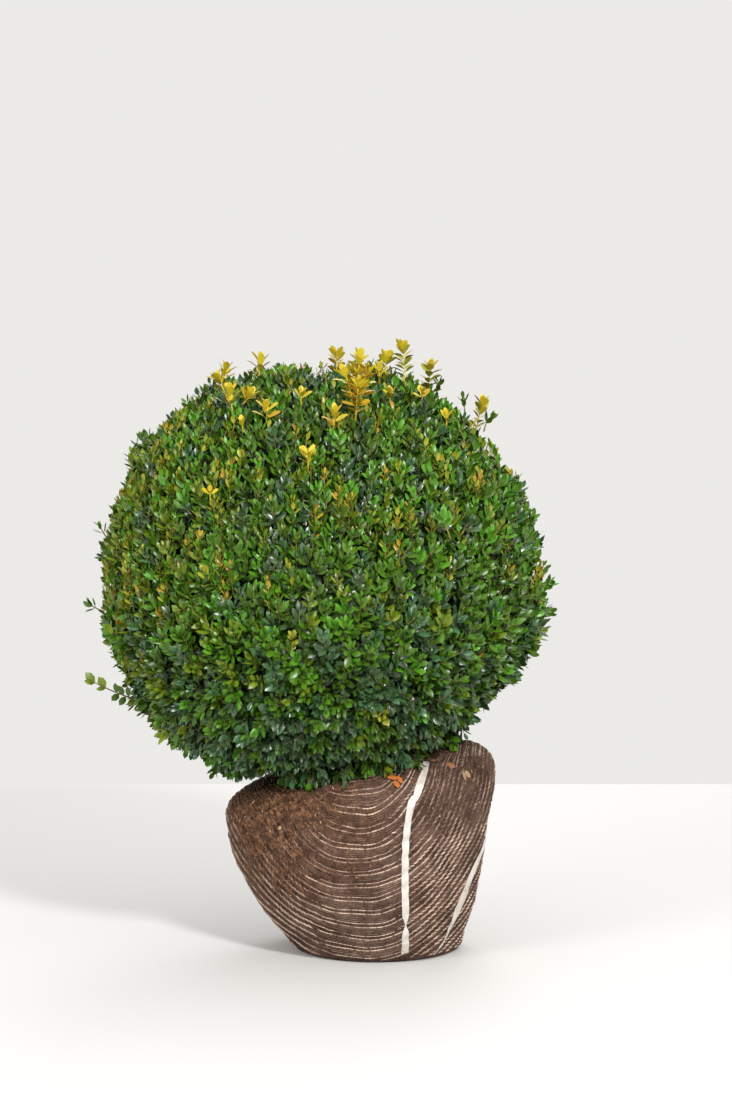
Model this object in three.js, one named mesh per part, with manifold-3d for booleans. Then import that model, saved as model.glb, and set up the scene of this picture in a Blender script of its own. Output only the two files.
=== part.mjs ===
// Box topiary ball, a clipped evergreen shrub that stands on its netted root ball.
// Millimetres, +Z up, +X to the right of the front view, which looks along +Y.
// The origin is the middle of the flat underside of the root ball.

import * as THREE from 'three';
import { mergeVertices } from 'three/addons/utils/BufferGeometryUtils.js';
import Module from 'manifold-3d';

const wasm = await Module();
wasm.setup();

// Every piece keeps this gap to its neighbour.
const GAP = 0.3;
const WELD_DISTANCE = 0.001;

// Root ball: a flat foot, sides that widen to the shoulder, and a top that tilts down to the left.
const FOOT_RADIUS = 97;
const FOOT_MIDDLE_RADIUS = 58;
const SHOULDER_RADIUS = 163;
const SHOULDER_HEIGHT = 176;
const TOP_HEIGHT = 229;
const ROOT_BALL_LEAN = -22;
const ROOT_BALL_MIDDLE = new THREE.Vector3(ROOT_BALL_LEAN, 0, 120);
const ROOT_BALL_DEPTH = 1.03;
const TOP_TILT = 0.14;
const STEM_SEAT_RADIUS = 36;
// Lumps round the side: how large, how many, where they start and how fast they turn going up.
const ROOT_BALL_LUMPS = [
  { size: 0.014, count: 3, start: 1.1, twist: 0 },
  { size: 0.0084, count: 5, start: 0, twist: -1 / 60 },
];

// Clipped ball of foliage: its crown stands a little full and its underside is cut flatter.
const BALL_CENTRE = new THREE.Vector3(-67, 0, 438);
const BALL_RADIUS = 269;
// Swells of the clipped surface: their height, their waves along each axis and where those start.
const BROAD_SWELL = 1.92;
const BROAD_WAVES = new THREE.Vector3(4.1, 3.7, 4.6);
const BROAD_STARTS = new THREE.Vector2(1.3, 0.4);
const BROAD_SLANT = 2.3;
const TUFT_SWELL = 3.2;
const TUFT_WAVES = new THREE.Vector3(13, 12, 14);
const TUFT_STARTS = new THREE.Vector2(0.7, 1.9);
const TUFT_SLANT = 2;
// Each of these eases in between two heights, as shares of the ball's radius.
const TOP_RISE = 5;
const TOP_RISE_BETWEEN = [0.3, 0.8];
const UNDERSIDE_FLAT = 16;
const UNDERSIDE_BETWEEN = [0.55, 0.85];
const LOW_RIGHT_HOLLOW = 19;
const HOLLOW_DIRECTION = new THREE.Vector3(0.77, -0.25, -0.6);
const HOLLOW_BETWEEN = [0.86, 1];

// Bare space under the ball, where the stem forks.
const BARE_CENTRE = new THREE.Vector3(-42, 0, 222);
const BARE_RADIUS = 98;
const BARE_HEIGHT = 122;

// Stem and boughs.
const STEM_BASE = new THREE.Vector3(ROOT_BALL_LEAN, 0, TOP_HEIGHT + GAP);
const STEM_LEAN = new THREE.Vector3(-34, 6, 130);
const STEM_RADIUS = 13;
const STEM_TIP_RADIUS = 8;
const STEM_BEND_HEIGHT = 58.5;
const ROOT_FLARE = 9;
const ROOT_FLARE_FADE = 9;
const BOUGH_COUNT = 6;
const BOUGH_FIRST_FORK = 0.24;
const BOUGH_FORK_STEP = 0.095;
const BOUGH_FIRST_TURN = 0.5;
const BOUGH_PAIR_TURN = Math.PI / 3;
const BOUGH_REACH = 112;
const BOUGH_RADIUS = 7;
const BOUGH_TIP_RADIUS = 4;
// Shares of the reach: how high the lowest bough climbs, and how much more each one above it does.
const BOUGH_RISE = 0.5;
const BOUGH_RISE_STEP = 0.12;
const BOUGH_KNEE_OUT = 0.5;
const BOUGH_KNEE_UP = 0.3;
const BOUGH_TIP_OUT = 0.85;

// Unclipped shoots. right and front are measured from the middle of the ball.
const SHOOT_STALK_RADIUS = 1.2;
const SHOOT_BURIED = 12;
const SHOOT_SWELL_PLACE = 1.5;
const SHOOTS = [
  { name: 'golden_shoot_tallest', right: 101, front: 59, height: 53, lean: -5, width: 8 },
  { name: 'golden_shoot_right', right: 130, front: 14, height: 42, lean: 1, width: 7 },
  { name: 'golden_shoot_middle', right: 76, front: 56, height: 34, lean: 1, width: 6 },
  { name: 'golden_shoot_centre_top', right: 20, front: 73, height: 32, lean: -2, width: 6 },
  { name: 'golden_shoot_left', right: -76, front: 39, height: 28, lean: 5, width: 5 },
  { name: 'golden_shoot_far_left', right: -118, front: 18, height: 32, lean: 3, width: 6 },
  { name: 'golden_shoot_far_right', right: 185, front: 16, height: 43, lean: 8, width: 7 },
];
const CLUSTER_FRONT = 164;
const CLUSTER_HEIGHT = 66;
const CLUSTER_WIDTH = 8;
const CLUSTER_RIGHTS = [34, 43, 52];
const CLUSTER_LEANS = [-5, 0, 4];
const STRAY_SPRIG_BASE = new THREE.Vector3(-239, -36, -129);
const STRAY_SPRIG_REACH = new THREE.Vector3(-48, 0, 21);
const STRAY_SPRIG_WIDTH = 7;

// Two flat tie strips that lie on the netting. The long one thins out at its upper end, and the
// short one is spread wide at its middle and runs out to a tail at the ground. turn is in degrees
// from the right side towards the front, and along is the share of the profile from foot to stem.
const STRIP_THICKNESS = 1;
const STRIP_LIFT = 1.7;
const LONG_STRIP = [
  { turn: 71, along: 0.02, width: 8.6 },
  { turn: 70.5, along: 0.28, width: 8.6 },
  { turn: 69.5, along: 0.5, width: 8.6 },
  { turn: 65, along: 0.6, width: 8.6 },
  { turn: 51, along: 0.735, width: 5.4 },
];
const SHORT_STRIP = [
  { turn: 48.5, along: 0.02, width: 1.8 },
  { turn: 43.5, along: 0.05, width: 2 },
  { turn: 40.5, along: 0.085, width: 3.4 },
  { turn: 38.5, along: 0.13, width: 8 },
  { turn: 36, along: 0.185, width: 12 },
  { turn: 31, along: 0.24, width: 14 },
  { turn: 26, along: 0.295, width: 12 },
  { turn: 18.5, along: 0.34, width: 9.4 },
  { turn: 6, along: 0.38, width: 8.6 },
  { turn: -8, along: 0.415, width: 8.6 },
];

// Mesh fineness.
const BALL_DETAIL = 11;
const BARE_DETAIL = 4;
const ROOT_BALL_SIDES = 44;
const ROOT_BALL_RINGS = 16;
const LIMB_SIDES = 9;
const SHOOT_SIDES = 6;
const LIMB_STEPS = 7;
const STRIP_STEPS = 27;
const STRIP_LOOK_AHEAD = 0.01;

// Closed solids and their meshes

function toSolid(geometry) {
  const bare = geometry.clone();
  bare.deleteAttribute('normal');
  bare.deleteAttribute('uv');
  const merged = mergeVertices(bare, WELD_DISTANCE);
  const corners = merged.index.array;
  const kept = [];
  for (let i = 0; i < corners.length; i += 3) {
    const [a, b, c] = [corners[i], corners[i + 1], corners[i + 2]];
    if (a !== b && b !== c && c !== a) kept.push(a, b, c);
  }
  const vertProperties = merged.attributes.position.array;
  return new wasm.Manifold(new wasm.Mesh({ numProp: 3, vertProperties, triVerts: new Uint32Array(kept) }));
}

function toGeometry(solid) {
  const result = solid.getMesh();
  const geometry = new THREE.BufferGeometry();
  geometry.setAttribute('position', new THREE.BufferAttribute(result.vertProperties, 3));
  geometry.setIndex(new THREE.BufferAttribute(result.triVerts, 1));
  geometry.computeVertexNormals();
  return geometry;
}

function moveVertices(geometry, move) {
  const position = geometry.attributes.position;
  const vertex = new THREE.Vector3();
  for (let i = 0; i < position.count; i += 1) {
    const moved = move(vertex.fromBufferAttribute(position, i));
    position.setXYZ(i, moved.x, moved.y, moved.z);
  }
  return geometry;
}

// The same geometry a little larger, used to cut the neighbours back by the gap.
function enlarged(geometry, centre, distance, halfSize) {
  const scale = 1 + distance / halfSize;
  const grow = (vertex) => vertex.sub(centre).multiplyScalar(scale).add(centre);
  return moveVertices(geometry.clone(), grow);
}

// Root ball

const rootBallProfile = new THREE.SplineCurve([
  new THREE.Vector2(FOOT_RADIUS, 0),
  new THREE.Vector2(127, 48),
  new THREE.Vector2(149, 110),
  new THREE.Vector2(SHOULDER_RADIUS, SHOULDER_HEIGHT),
  new THREE.Vector2(162, 202),
  new THREE.Vector2(140, 220),
  new THREE.Vector2(90, 228),
  new THREE.Vector2(STEM_SEAT_RADIUS, TOP_HEIGHT),
]);

function rootBallLean(height) {
  return ROOT_BALL_LEAN * Math.sin(Math.min(1, height / SHOULDER_HEIGHT) * Math.PI / 2);
}

// A point of the root ball from its place on the profile, with the lean, tilt and lumps of the real one.
function rootBallPoint(radius, height, angle) {
  const awayFromSeat = THREE.MathUtils.smoothstep(radius, STEM_SEAT_RADIUS, SHOULDER_RADIUS / 2);
  const tilt = 1 + TOP_TILT * awayFromSeat * Math.cos(angle) * radius / SHOULDER_RADIUS;
  const lumps = ROOT_BALL_LUMPS.map(
    ({ size, count, start, twist }) => size * Math.sin(count * angle + start + twist * height),
  );
  const lump = lumps.reduce((sum, each) => sum + each);
  const swell = 1 + lump * awayFromSeat * Math.min(1, height / SHOULDER_HEIGHT);
  return new THREE.Vector3(
    radius * swell * Math.cos(angle) + rootBallLean(height),
    radius * swell * Math.sin(angle) * ROOT_BALL_DEPTH,
    height * tilt,
  );
}

function rootBallGeometry() {
  const outline = [
    new THREE.Vector2(0, 0),
    new THREE.Vector2(FOOT_MIDDLE_RADIUS, 0),
    ...rootBallProfile.getSpacedPoints(ROOT_BALL_RINGS),
    new THREE.Vector2(0, TOP_HEIGHT),
  ];
  const geometry = new THREE.LatheGeometry(outline, ROOT_BALL_SIDES);
  return moveVertices(geometry, ({ x, y, z }) => rootBallPoint(Math.hypot(x, z), y, Math.atan2(-z, x)));
}

// Tie strips: a flat band that follows the side of the root ball a gap outside it

function rootBallAt(turn, along) {
  const place = rootBallProfile.getPointAt(along);
  return rootBallPoint(place.x, place.y, THREE.MathUtils.degToRad(-turn));
}

function tieStrip(route) {
  const path = new THREE.CatmullRomCurve3(
    route.map(({ turn, along, width }) => new THREE.Vector3(turn, along, width)),
  );
  const geometry = new THREE.BoxGeometry(1, STRIP_THICKNESS, 1, 1, 1, STRIP_STEPS);
  return moveVertices(geometry, ({ x, y, z }) => {
    const step = Math.min(z + 0.5, 1 - STRIP_LOOK_AHEAD);
    const { x: turn, y: along, z: width } = path.getPoint(step);
    const next = path.getPoint(step + STRIP_LOOK_AHEAD);
    const onNet = rootBallAt(turn, along);
    const forward = rootBallAt(next.x, next.y).sub(onNet).normalize();
    const leftward = rootBallAt(turn + 1, along).sub(onNet).normalize();
    const outward = forward.clone().cross(leftward).normalize();
    const sideways = outward.clone().cross(forward);
    return onNet.addScaledVector(outward, STRIP_LIFT + y).addScaledVector(sideways, x * width);
  });
}

// Clipped ball

// Distance from the middle of the ball to its clipped surface in one direction.
function ballReach(direction) {
  const { x, y, z } = direction;
  const { smoothstep } = THREE.MathUtils;
  const broad = Math.sin(BROAD_WAVES.x * x + BROAD_STARTS.x) * Math.sin(BROAD_WAVES.y * y + BROAD_STARTS.y)
    + Math.sin(BROAD_WAVES.z * z + BROAD_SLANT * x);
  const tufts = Math.sin(TUFT_WAVES.x * x + TUFT_SLANT * y)
    * Math.sin(TUFT_WAVES.y * y + TUFT_STARTS.x)
    * Math.sin(TUFT_WAVES.z * z + TUFT_STARTS.y);
  const top = TOP_RISE * smoothstep(z, ...TOP_RISE_BETWEEN);
  const underside = UNDERSIDE_FLAT * smoothstep(-z, ...UNDERSIDE_BETWEEN);
  const hollow = LOW_RIGHT_HOLLOW * smoothstep(direction.dot(HOLLOW_DIRECTION), ...HOLLOW_BETWEEN);
  return BALL_RADIUS + BROAD_SWELL * broad + TUFT_SWELL * tufts + top - underside - hollow;
}

function ballGeometry() {
  const geometry = new THREE.IcosahedronGeometry(1, BALL_DETAIL);
  return moveVertices(geometry, (vertex) => {
    const direction = vertex.normalize();
    return direction.multiplyScalar(ballReach(direction)).add(BALL_CENTRE);
  });
}

function bareSpaceGeometry(inset) {
  const geometry = new THREE.IcosahedronGeometry(1, BARE_DETAIL);
  geometry.scale(BARE_RADIUS - inset, BARE_RADIUS - inset, BARE_HEIGHT - inset);
  geometry.translate(BARE_CENTRE.x, BARE_CENTRE.y, BARE_CENTRE.z);
  return geometry;
}

// Limbs: one tapering tube along a curve

function limb(curve, radiusAt, sides) {
  const geometry = new THREE.CylinderGeometry(1, 1, 1, sides, LIMB_STEPS);
  const frames = curve.computeFrenetFrames(LIMB_STEPS);
  return moveVertices(geometry, ({ x, y, z }) => {
    const ring = Math.round((y + 0.5) * LIMB_STEPS);
    const radius = radiusAt(ring / LIMB_STEPS);
    const point = curve.getPointAt(ring / LIMB_STEPS);
    point.addScaledVector(frames.normals[ring], x * radius);
    return point.addScaledVector(frames.binormals[ring], -z * radius);
  });
}

const stemCurve = new THREE.QuadraticBezierCurve3(
  STEM_BASE,
  STEM_BASE.clone().add(new THREE.Vector3(0, 0, STEM_BEND_HEIGHT)),
  STEM_BASE.clone().add(STEM_LEAN),
);

function stemGeometry(extra) {
  const radiusAt = (along) => {
    const flare = ROOT_FLARE * Math.exp(-along * ROOT_FLARE_FADE);
    return THREE.MathUtils.lerp(STEM_RADIUS, STEM_TIP_RADIUS, along) + flare + extra;
  };
  return limb(stemCurve, radiusAt, LIMB_SIDES);
}

// Boughs leave the stem one above the other, opposite in pairs, and bend upward.
function boughGeometry(index) {
  const fork = stemCurve.getPointAt(BOUGH_FIRST_FORK + BOUGH_FORK_STEP * index);
  const turn = index * Math.PI + Math.floor(index / 2) * BOUGH_PAIR_TURN + BOUGH_FIRST_TURN;
  const outward = new THREE.Vector3(Math.cos(turn), Math.sin(turn), 0);
  const rise = BOUGH_RISE + BOUGH_RISE_STEP * index;
  const knee = fork.clone().addScaledVector(outward, BOUGH_REACH * BOUGH_KNEE_OUT);
  knee.z += BOUGH_REACH * BOUGH_KNEE_UP * rise;
  const tip = fork.clone().addScaledVector(outward, BOUGH_REACH * BOUGH_TIP_OUT);
  tip.z += BOUGH_REACH * rise;
  const radiusAt = (along) => THREE.MathUtils.lerp(BOUGH_RADIUS, BOUGH_TIP_RADIUS, along);
  return limb(new THREE.QuadraticBezierCurve3(fork, knee, tip), radiusAt, LIMB_SIDES);
}

// Unclipped shoots: a thin stalk that swells into its tuft of leaves

function shootGeometry(base, reach, width) {
  const inward = base.clone().sub(BALL_CENTRE).normalize().multiplyScalar(-SHOOT_BURIED);
  const curve = new THREE.LineCurve3(base.clone().add(inward), base.clone().add(reach));
  const radiusAt = (along) => {
    const swell = Math.sin(Math.PI * along ** SHOOT_SWELL_PLACE);
    return SHOOT_STALK_RADIUS + (width - SHOOT_STALK_RADIUS) * swell;
  };
  return limb(curve, radiusAt, SHOOT_SIDES);
}

function topShootGeometry({ right, front, height, lean, width }) {
  const up = Math.sqrt(BALL_RADIUS ** 2 - right ** 2 - front ** 2);
  const direction = new THREE.Vector3(right, -front, up).normalize();
  const base = direction.clone().multiplyScalar(ballReach(direction)).add(BALL_CENTRE);
  return shootGeometry(base, new THREE.Vector3(lean, 0, height), width);
}

// Materials

function finish(colour, roughness) {
  return new THREE.MeshStandardMaterial({ color: colour, roughness, metalness: 0 });
}

const NETTING = finish(0x6a5044, 0.95);
const STRIP_WHITE = finish(0xe9e6df, 0.6);
const BARK = finish(0x7a6a50, 0.9);
const BOX_GREEN = finish(0x2f5a24, 0.5);
const GOLDEN = finish(0xd8b427, 0.5);
const SHOOT_GREEN = finish(0x9db43a, 0.5);

// The plant

const plant = new THREE.Group();

function addPiece(name, solid, material) {
  const mesh = new THREE.Mesh(toGeometry(solid), material);
  mesh.name = name;
  plant.add(mesh);
}

const rootBall = rootBallGeometry();
const ball = ballGeometry();
const rootBallCutter = toSolid(enlarged(rootBall, ROOT_BALL_MIDDLE, 2 * GAP, FOOT_RADIUS));
const ballCutter = toSolid(enlarged(ball, BALL_CENTRE, 2 * GAP, BALL_RADIUS));
const insideBareSpace = toSolid(bareSpaceGeometry(GAP));

addPiece('root_ball', toSolid(rootBall), NETTING);
addPiece('tie_strip_long', toSolid(tieStrip(LONG_STRIP)).subtract(ballCutter), STRIP_WHITE);
addPiece('tie_strip_short', toSolid(tieStrip(SHORT_STRIP)), STRIP_WHITE);

addPiece('main_stem', toSolid(stemGeometry(0)).intersect(insideBareSpace), BARK);
const stemCutter = toSolid(stemGeometry(GAP));
for (let index = 0; index < BOUGH_COUNT; index += 1) {
  const bough = toSolid(boughGeometry(index)).intersect(insideBareSpace).subtract(stemCutter);
  addPiece(`bough_${index + 1}`, bough, BARK);
}

const foliage = toSolid(ball).subtract(rootBallCutter).subtract(toSolid(bareSpaceGeometry(0)));
addPiece('foliage_ball', foliage, BOX_GREEN);

for (const shoot of SHOOTS) {
  addPiece(shoot.name, toSolid(topShootGeometry(shoot)).subtract(ballCutter), GOLDEN);
}

const cluster = CLUSTER_RIGHTS.map((right, index) => toSolid(topShootGeometry({
  right,
  front: CLUSTER_FRONT,
  height: CLUSTER_HEIGHT,
  lean: CLUSTER_LEANS[index],
  width: CLUSTER_WIDTH,
})));
const joinedCluster = cluster.reduce((whole, shoot) => whole.add(shoot));
addPiece('golden_shoot_cluster', joinedCluster.subtract(ballCutter), GOLDEN);

const straySprig = shootGeometry(
  STRAY_SPRIG_BASE.clone().add(BALL_CENTRE),
  STRAY_SPRIG_REACH,
  STRAY_SPRIG_WIDTH,
);
addPiece('stray_sprig', toSolid(straySprig).subtract(ballCutter), SHOOT_GREEN);

export default plant;
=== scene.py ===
import math

import bmesh
import bpy
import numpy as np
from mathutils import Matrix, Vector, noise
from mathutils.bvhtree import BVHTree


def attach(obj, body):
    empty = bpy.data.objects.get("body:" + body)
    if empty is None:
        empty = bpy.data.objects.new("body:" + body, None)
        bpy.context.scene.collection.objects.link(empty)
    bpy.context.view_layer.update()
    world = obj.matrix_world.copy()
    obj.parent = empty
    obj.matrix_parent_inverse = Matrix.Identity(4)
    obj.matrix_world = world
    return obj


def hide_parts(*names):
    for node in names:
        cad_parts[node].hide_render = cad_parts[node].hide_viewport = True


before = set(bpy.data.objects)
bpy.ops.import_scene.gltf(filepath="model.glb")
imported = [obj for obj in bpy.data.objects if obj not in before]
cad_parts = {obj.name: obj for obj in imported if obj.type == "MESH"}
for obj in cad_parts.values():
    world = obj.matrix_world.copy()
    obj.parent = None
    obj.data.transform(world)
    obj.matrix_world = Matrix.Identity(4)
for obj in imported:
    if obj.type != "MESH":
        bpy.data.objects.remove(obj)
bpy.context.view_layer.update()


# Front view
# The shrub was taken from about its own height and 2.8 m away, with a long lens tilted down a little.
CAMERA_PLACE = (-0.0134, -2.77, 0.564)
CAMERA_TILT_DOWN = math.radians(1.56)
FOCAL_PIXELS = 2274
PHOTO_HEIGHT = 1093
SENSOR_MILLIMETRES = 36


def new_object(name, data):
    """Puts a mesh, camera or lamp into the scene."""
    thing = bpy.data.objects.new(name, data)
    bpy.context.scene.collection.objects.link(thing)
    return thing


camera_data = bpy.data.cameras.new("front_view")
camera_data.sensor_width = SENSOR_MILLIMETRES
camera_data.lens = SENSOR_MILLIMETRES * FOCAL_PIXELS / PHOTO_HEIGHT
camera = new_object("front_view", camera_data)
camera.location = CAMERA_PLACE
camera.rotation_euler = (math.pi / 2 - CAMERA_TILT_DOWN, 0, 0)
bpy.context.scene.camera = camera


# Root ball
# Moist soil and roots, lifted from the nursery field and packed tight in a brown knitted net.
# Its lumps push the net out between the rows of the knit, and its foot is pressed flat.
NET_SUBDIVISIONS = 3
CORNER_PUSHES = 2
WELD_DISTANCE = 1e-5
# Up to what angles in radians two triangles of the solid are joined to a four-sided face.
FLAT_ENOUGH = 0.6
SQUARE_ENOUGH = 0.9
# The lumps of the soil and its crumbs: their height and their fineness.
SOIL_RELIEF = ((0.0018, 24), (0.0006, 110))
ROW_BULGE = 0.0006
FOOT_KEPT_FLAT = 0.004
NET_MOUTH = Vector((-0.021, 0, 0.229))
MOUTH_LENGTH = 0.048
FIRST_ROW = 0.2
ROW_SPACING_LEFT = 0.0096
ROW_SPACING_RIGHT = 0.0085
ROW_SPACING_DEEP = 0.0345
ROW_SPACING_DOWN = 0.0136
RING_ROUNDNESS = 1.6
# The rows wander by a share of their spacing, and a finer wander lies over the first.
ROW_WANDER = 0.3
WANDER_FINENESS = 13
FINE_WANDER = 0.35
FINE_WANDER_FINENESS = 37
FINE_WANDER_SHIFT = Vector((3, 1, 7))
# The soil on the left shoulder, and the patches of soil elsewhere: their strength and fineness.
SOIL_PLACE = Vector((-0.125, -0.11, 0.2))
SOIL_REACH = 0.078
SOIL_STRENGTH = 1.1
SOIL_PATCHES = ((0.42, 30), (0.25, 95))
# The right shoulder is darker too, as painted shade: from where to where it sets in, going right and
# going up.
SHOULDER_SHADE_RIGHTWARD = (0.02, 0.06)
SHOULDER_SHADE_UPWARD = (0.14, 0.18)
SHOULDER_PAINTED_SHADE = 0.42
NET_GLOSS = 0.12
PLAIN_GLOSS = 0.5
NET_SHADES = [
    (0.34, (0.038, 0.023, 0.018)),
    (0.5, (0.085, 0.053, 0.042)),
    (0.68, (0.165, 0.108, 0.084)),
]
SOIL_SHADES = [
    (0.38, (0.03, 0.014, 0.009)),
    (0.5, (0.115, 0.054, 0.028)),
    (0.64, (0.36, 0.18, 0.085)),
]
# How much soil shows by the distance from its place, how patchy that is, and the knit: dark where its
# holes show soil, with painted shade in the grooves between its loops.
SOILED_SHADES = [(0.13, (1, 1, 1)), (0.17, (0.6, 0.6, 0.6)), (0.25, (0.1, 0.1, 0.1))]
SOILED_PATCHINESS = 0.16
KNIT_SHADES = [(0.1, (1.15, 1.1, 1.08)), (0.75, (0.45, 0.42, 0.42))]
KNIT_DARKENING = 0.85


def row_level(point):
    """Rows of the knit between the drawn-up mouth of the net and a point; they ring the mouth."""
    away = point - NET_MOUTH
    spacing = ROW_SPACING_RIGHT if away.x > 0 else ROW_SPACING_LEFT
    sideways = away.x**2 / (abs(away.x) + MOUTH_LENGTH) / spacing
    deep = abs(away.y) / ROW_SPACING_DEEP
    down = max(0, -away.z) / ROW_SPACING_DOWN
    rows = sum(count**RING_ROUNDNESS for count in (sideways, deep, down)) ** (1 / RING_ROUNDNESS)
    wander = noise.noise(point * WANDER_FINENESS)
    wander += FINE_WANDER * noise.noise(point * FINE_WANDER_FINENESS + FINE_WANDER_SHIFT)
    return rows - FIRST_ROW + ROW_WANDER * wander


def smooth_share(values, low, high):
    """Nought below low, one above high, and an even ease between."""
    share = np.clip((values - low) / (high - low), 0, 1)
    return share * share * (3 - 2 * share)


def layered_noise(point, layers):
    """Noise at a point, summed over layers of a strength and a fineness each."""
    return sum(strength * noise.noise(point * fineness) for strength, fineness in layers)


def soil_and_shade_share(point):
    """How thickly soil has worked out through the net, most on the left shoulder and in patches, plus
    painted shade on the right shoulder.
    """
    left = math.exp(-(((point - SOIL_PLACE).length / SOIL_REACH) ** 2))
    # Painted shade on the right shoulder, counted in with the soil.
    right = smooth_share(point.x, *SHOULDER_SHADE_RIGHTWARD) * smooth_share(point.z, *SHOULDER_SHADE_UPWARD)
    patches = layered_noise(point, SOIL_PATCHES)
    return SOIL_STRENGTH * left + SHOULDER_PAINTED_SHADE * right + patches


def vertex_array(mesh, attribute):
    values = np.empty(len(mesh.vertices) * 3, np.float32)
    mesh.vertices.foreach_get(attribute, values)
    return values.reshape(-1, 3).astype(float)


def move_vertices(mesh, points):
    mesh.vertices.foreach_set("co", np.asarray(points, np.float32).ravel())
    mesh.update()


def smoothed_copy(node, levels, kind="CATMULL_CLARK"):
    """A fine copy of a CAD solid, as mesh data: rounded, or with its edges kept if kind is SIMPLE.

    Rounding draws the corners in, so they are first pushed out until they come back to their places.
    """
    mesh = bmesh.new()
    mesh.from_mesh(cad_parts[node].data)
    bmesh.ops.remove_doubles(mesh, verts=mesh.verts, dist=WELD_DISTANCE)
    bmesh.ops.join_triangles(
        mesh,
        faces=mesh.faces,
        angle_face_threshold=FLAT_ENOUGH,
        angle_shape_threshold=SQUARE_ENOUGH,
    )
    coarse = bpy.data.meshes.new(node + "_coarse")
    mesh.to_mesh(coarse)
    mesh.free()
    holder = new_object(node + "_coarse", coarse)
    smoother = holder.modifiers.new("smooth", "SUBSURF")
    smoother.levels = levels
    smoother.subdivision_type = kind
    corners = vertex_array(coarse, "co")
    for push in range(CORNER_PUSHES if kind == "CATMULL_CLARK" else 0):
        rounded = holder.evaluated_get(bpy.context.evaluated_depsgraph_get()).data
        drawn_in = corners - vertex_array(rounded, "co")[: len(corners)]
        move_vertices(coarse, vertex_array(coarse, "co") + drawn_in)
    fine = bpy.data.meshes.new_from_object(
        holder.evaluated_get(bpy.context.evaluated_depsgraph_get())
    )
    bpy.data.objects.remove(holder)
    return fine


def new_material(name, colour, roughness, gloss=PLAIN_GLOSS):
    material = bpy.data.materials.new(name)
    material.use_nodes = True
    shader = material.node_tree.nodes["Principled BSDF"]
    shader.inputs["Base Color"].default_value = (*colour, 1)
    shader.inputs["Roughness"].default_value = roughness
    shader.inputs["Specular IOR Level"].default_value = gloss
    return material, material.node_tree, shader


def add_node(tree, kind, **settings):
    node = tree.nodes.new(kind)
    for key, value in settings.items():
        if key in node.inputs:
            node.inputs[key].default_value = value
        else:
            setattr(node, key, value)
    return node


def add_ramp(tree, source, stops):
    """A colour ramp of (place, colour) stops, fed by a value socket."""
    ramp = tree.nodes.new("ShaderNodeValToRGB")
    for place, colour in stops[1:-1]:
        ramp.color_ramp.elements.new(place).color = (*colour, 1)
    elements = ramp.color_ramp.elements
    elements[0].position, elements[0].color = stops[0][0], (*stops[0][1], 1)
    elements[-1].position, elements[-1].color = stops[-1][0], (*stops[-1][1], 1)
    tree.links.new(source, ramp.inputs["Fac"])
    return ramp.outputs["Color"]


def add_mix(tree, first, second, blend_type):
    """A mix of two colours. Its input 0 is the share of the second, and its output 2 the colour."""
    mix = add_node(tree, "ShaderNodeMix", data_type="RGBA", blend_type=blend_type)
    tree.links.new(first, mix.inputs[6])
    tree.links.new(second, mix.inputs[7])
    return mix


def add_placed_node(tree, kind, **settings):
    """A node that works from the place of each point on the piece."""
    node = add_node(tree, kind, **settings)
    place = add_node(tree, "ShaderNodeTexCoord").outputs["Object"]
    tree.links.new(place, node.inputs["Vector"])
    return node


def add_mottle(tree, shader, stops, **settings):
    """Colours a finish by noise, from a ramp of (place, colour) stops."""
    mottle = add_placed_node(tree, "ShaderNodeTexNoise", **settings)
    tree.links.new(add_ramp(tree, mottle.outputs["Fac"], stops), shader.inputs["Base Color"])


def add_bump(tree, shader, height, strength, distance):
    bump = add_node(tree, "ShaderNodeBump", Strength=strength, Distance=distance)
    tree.links.new(height, bump.inputs["Height"])
    tree.links.new(bump.outputs["Normal"], shader.inputs["Normal"])


def place_piece(piece, material, slot, *nodes):
    """Gives a new piece its finish, ties it to the plant, and hides the CAD solids it stands for."""
    piece.data.materials.clear()
    piece.data.materials.append(material)
    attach(piece, "root")
    if nodes:
        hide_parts(*nodes)


net_mesh = smoothed_copy("root_ball", NET_SUBDIVISIONS)
net_mesh.name = "netted_root_ball"
net_points = vertex_array(net_mesh, "co")
net_outward = vertex_array(net_mesh, "normal")
for index, point in enumerate(net_points):
    place = Vector(point)
    if place.z < FOOT_KEPT_FLAT:
        continue
    row = math.cos(math.tau * row_level(place))
    relief = layered_noise(place, SOIL_RELIEF) - ROW_BULGE * row
    net_points[index] += net_outward[index] * relief
net_points[:, 2] = np.maximum(net_points[:, 2], 0)
move_vertices(net_mesh, net_points)
net_mesh.shade_smooth()

net_material, tree, shader = new_material(
    "brown_netting", (0.1, 0.07, 0.05), roughness=0.93, gloss=NET_GLOSS
)
stain = add_placed_node(tree, "ShaderNodeTexNoise", Scale=34, Detail=6, Roughness=0.68)
crumbs = add_placed_node(tree, "ShaderNodeTexNoise", Scale=120, Detail=6, Roughness=0.75)
knit = add_placed_node(tree, "ShaderNodeTexVoronoi", Scale=520, Randomness=0.65)
from_soil = add_placed_node(tree, "ShaderNodeVectorMath", operation="DISTANCE")
from_soil.inputs[1].default_value = SOIL_PLACE
patchy = add_node(tree, "ShaderNodeMath", operation="MULTIPLY_ADD")
tree.links.new(stain.outputs["Fac"], patchy.inputs[0])
patchy.inputs[1].default_value = SOILED_PATCHINESS
tree.links.new(from_soil.outputs["Value"], patchy.inputs[2])
netting = add_ramp(tree, stain.outputs["Fac"], NET_SHADES)
soil = add_ramp(tree, crumbs.outputs["Fac"], SOIL_SHADES)
soiled = add_mix(tree, netting, soil, "MIX")
tree.links.new(add_ramp(tree, patchy.outputs["Value"], SOILED_SHADES), soiled.inputs[0])
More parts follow.
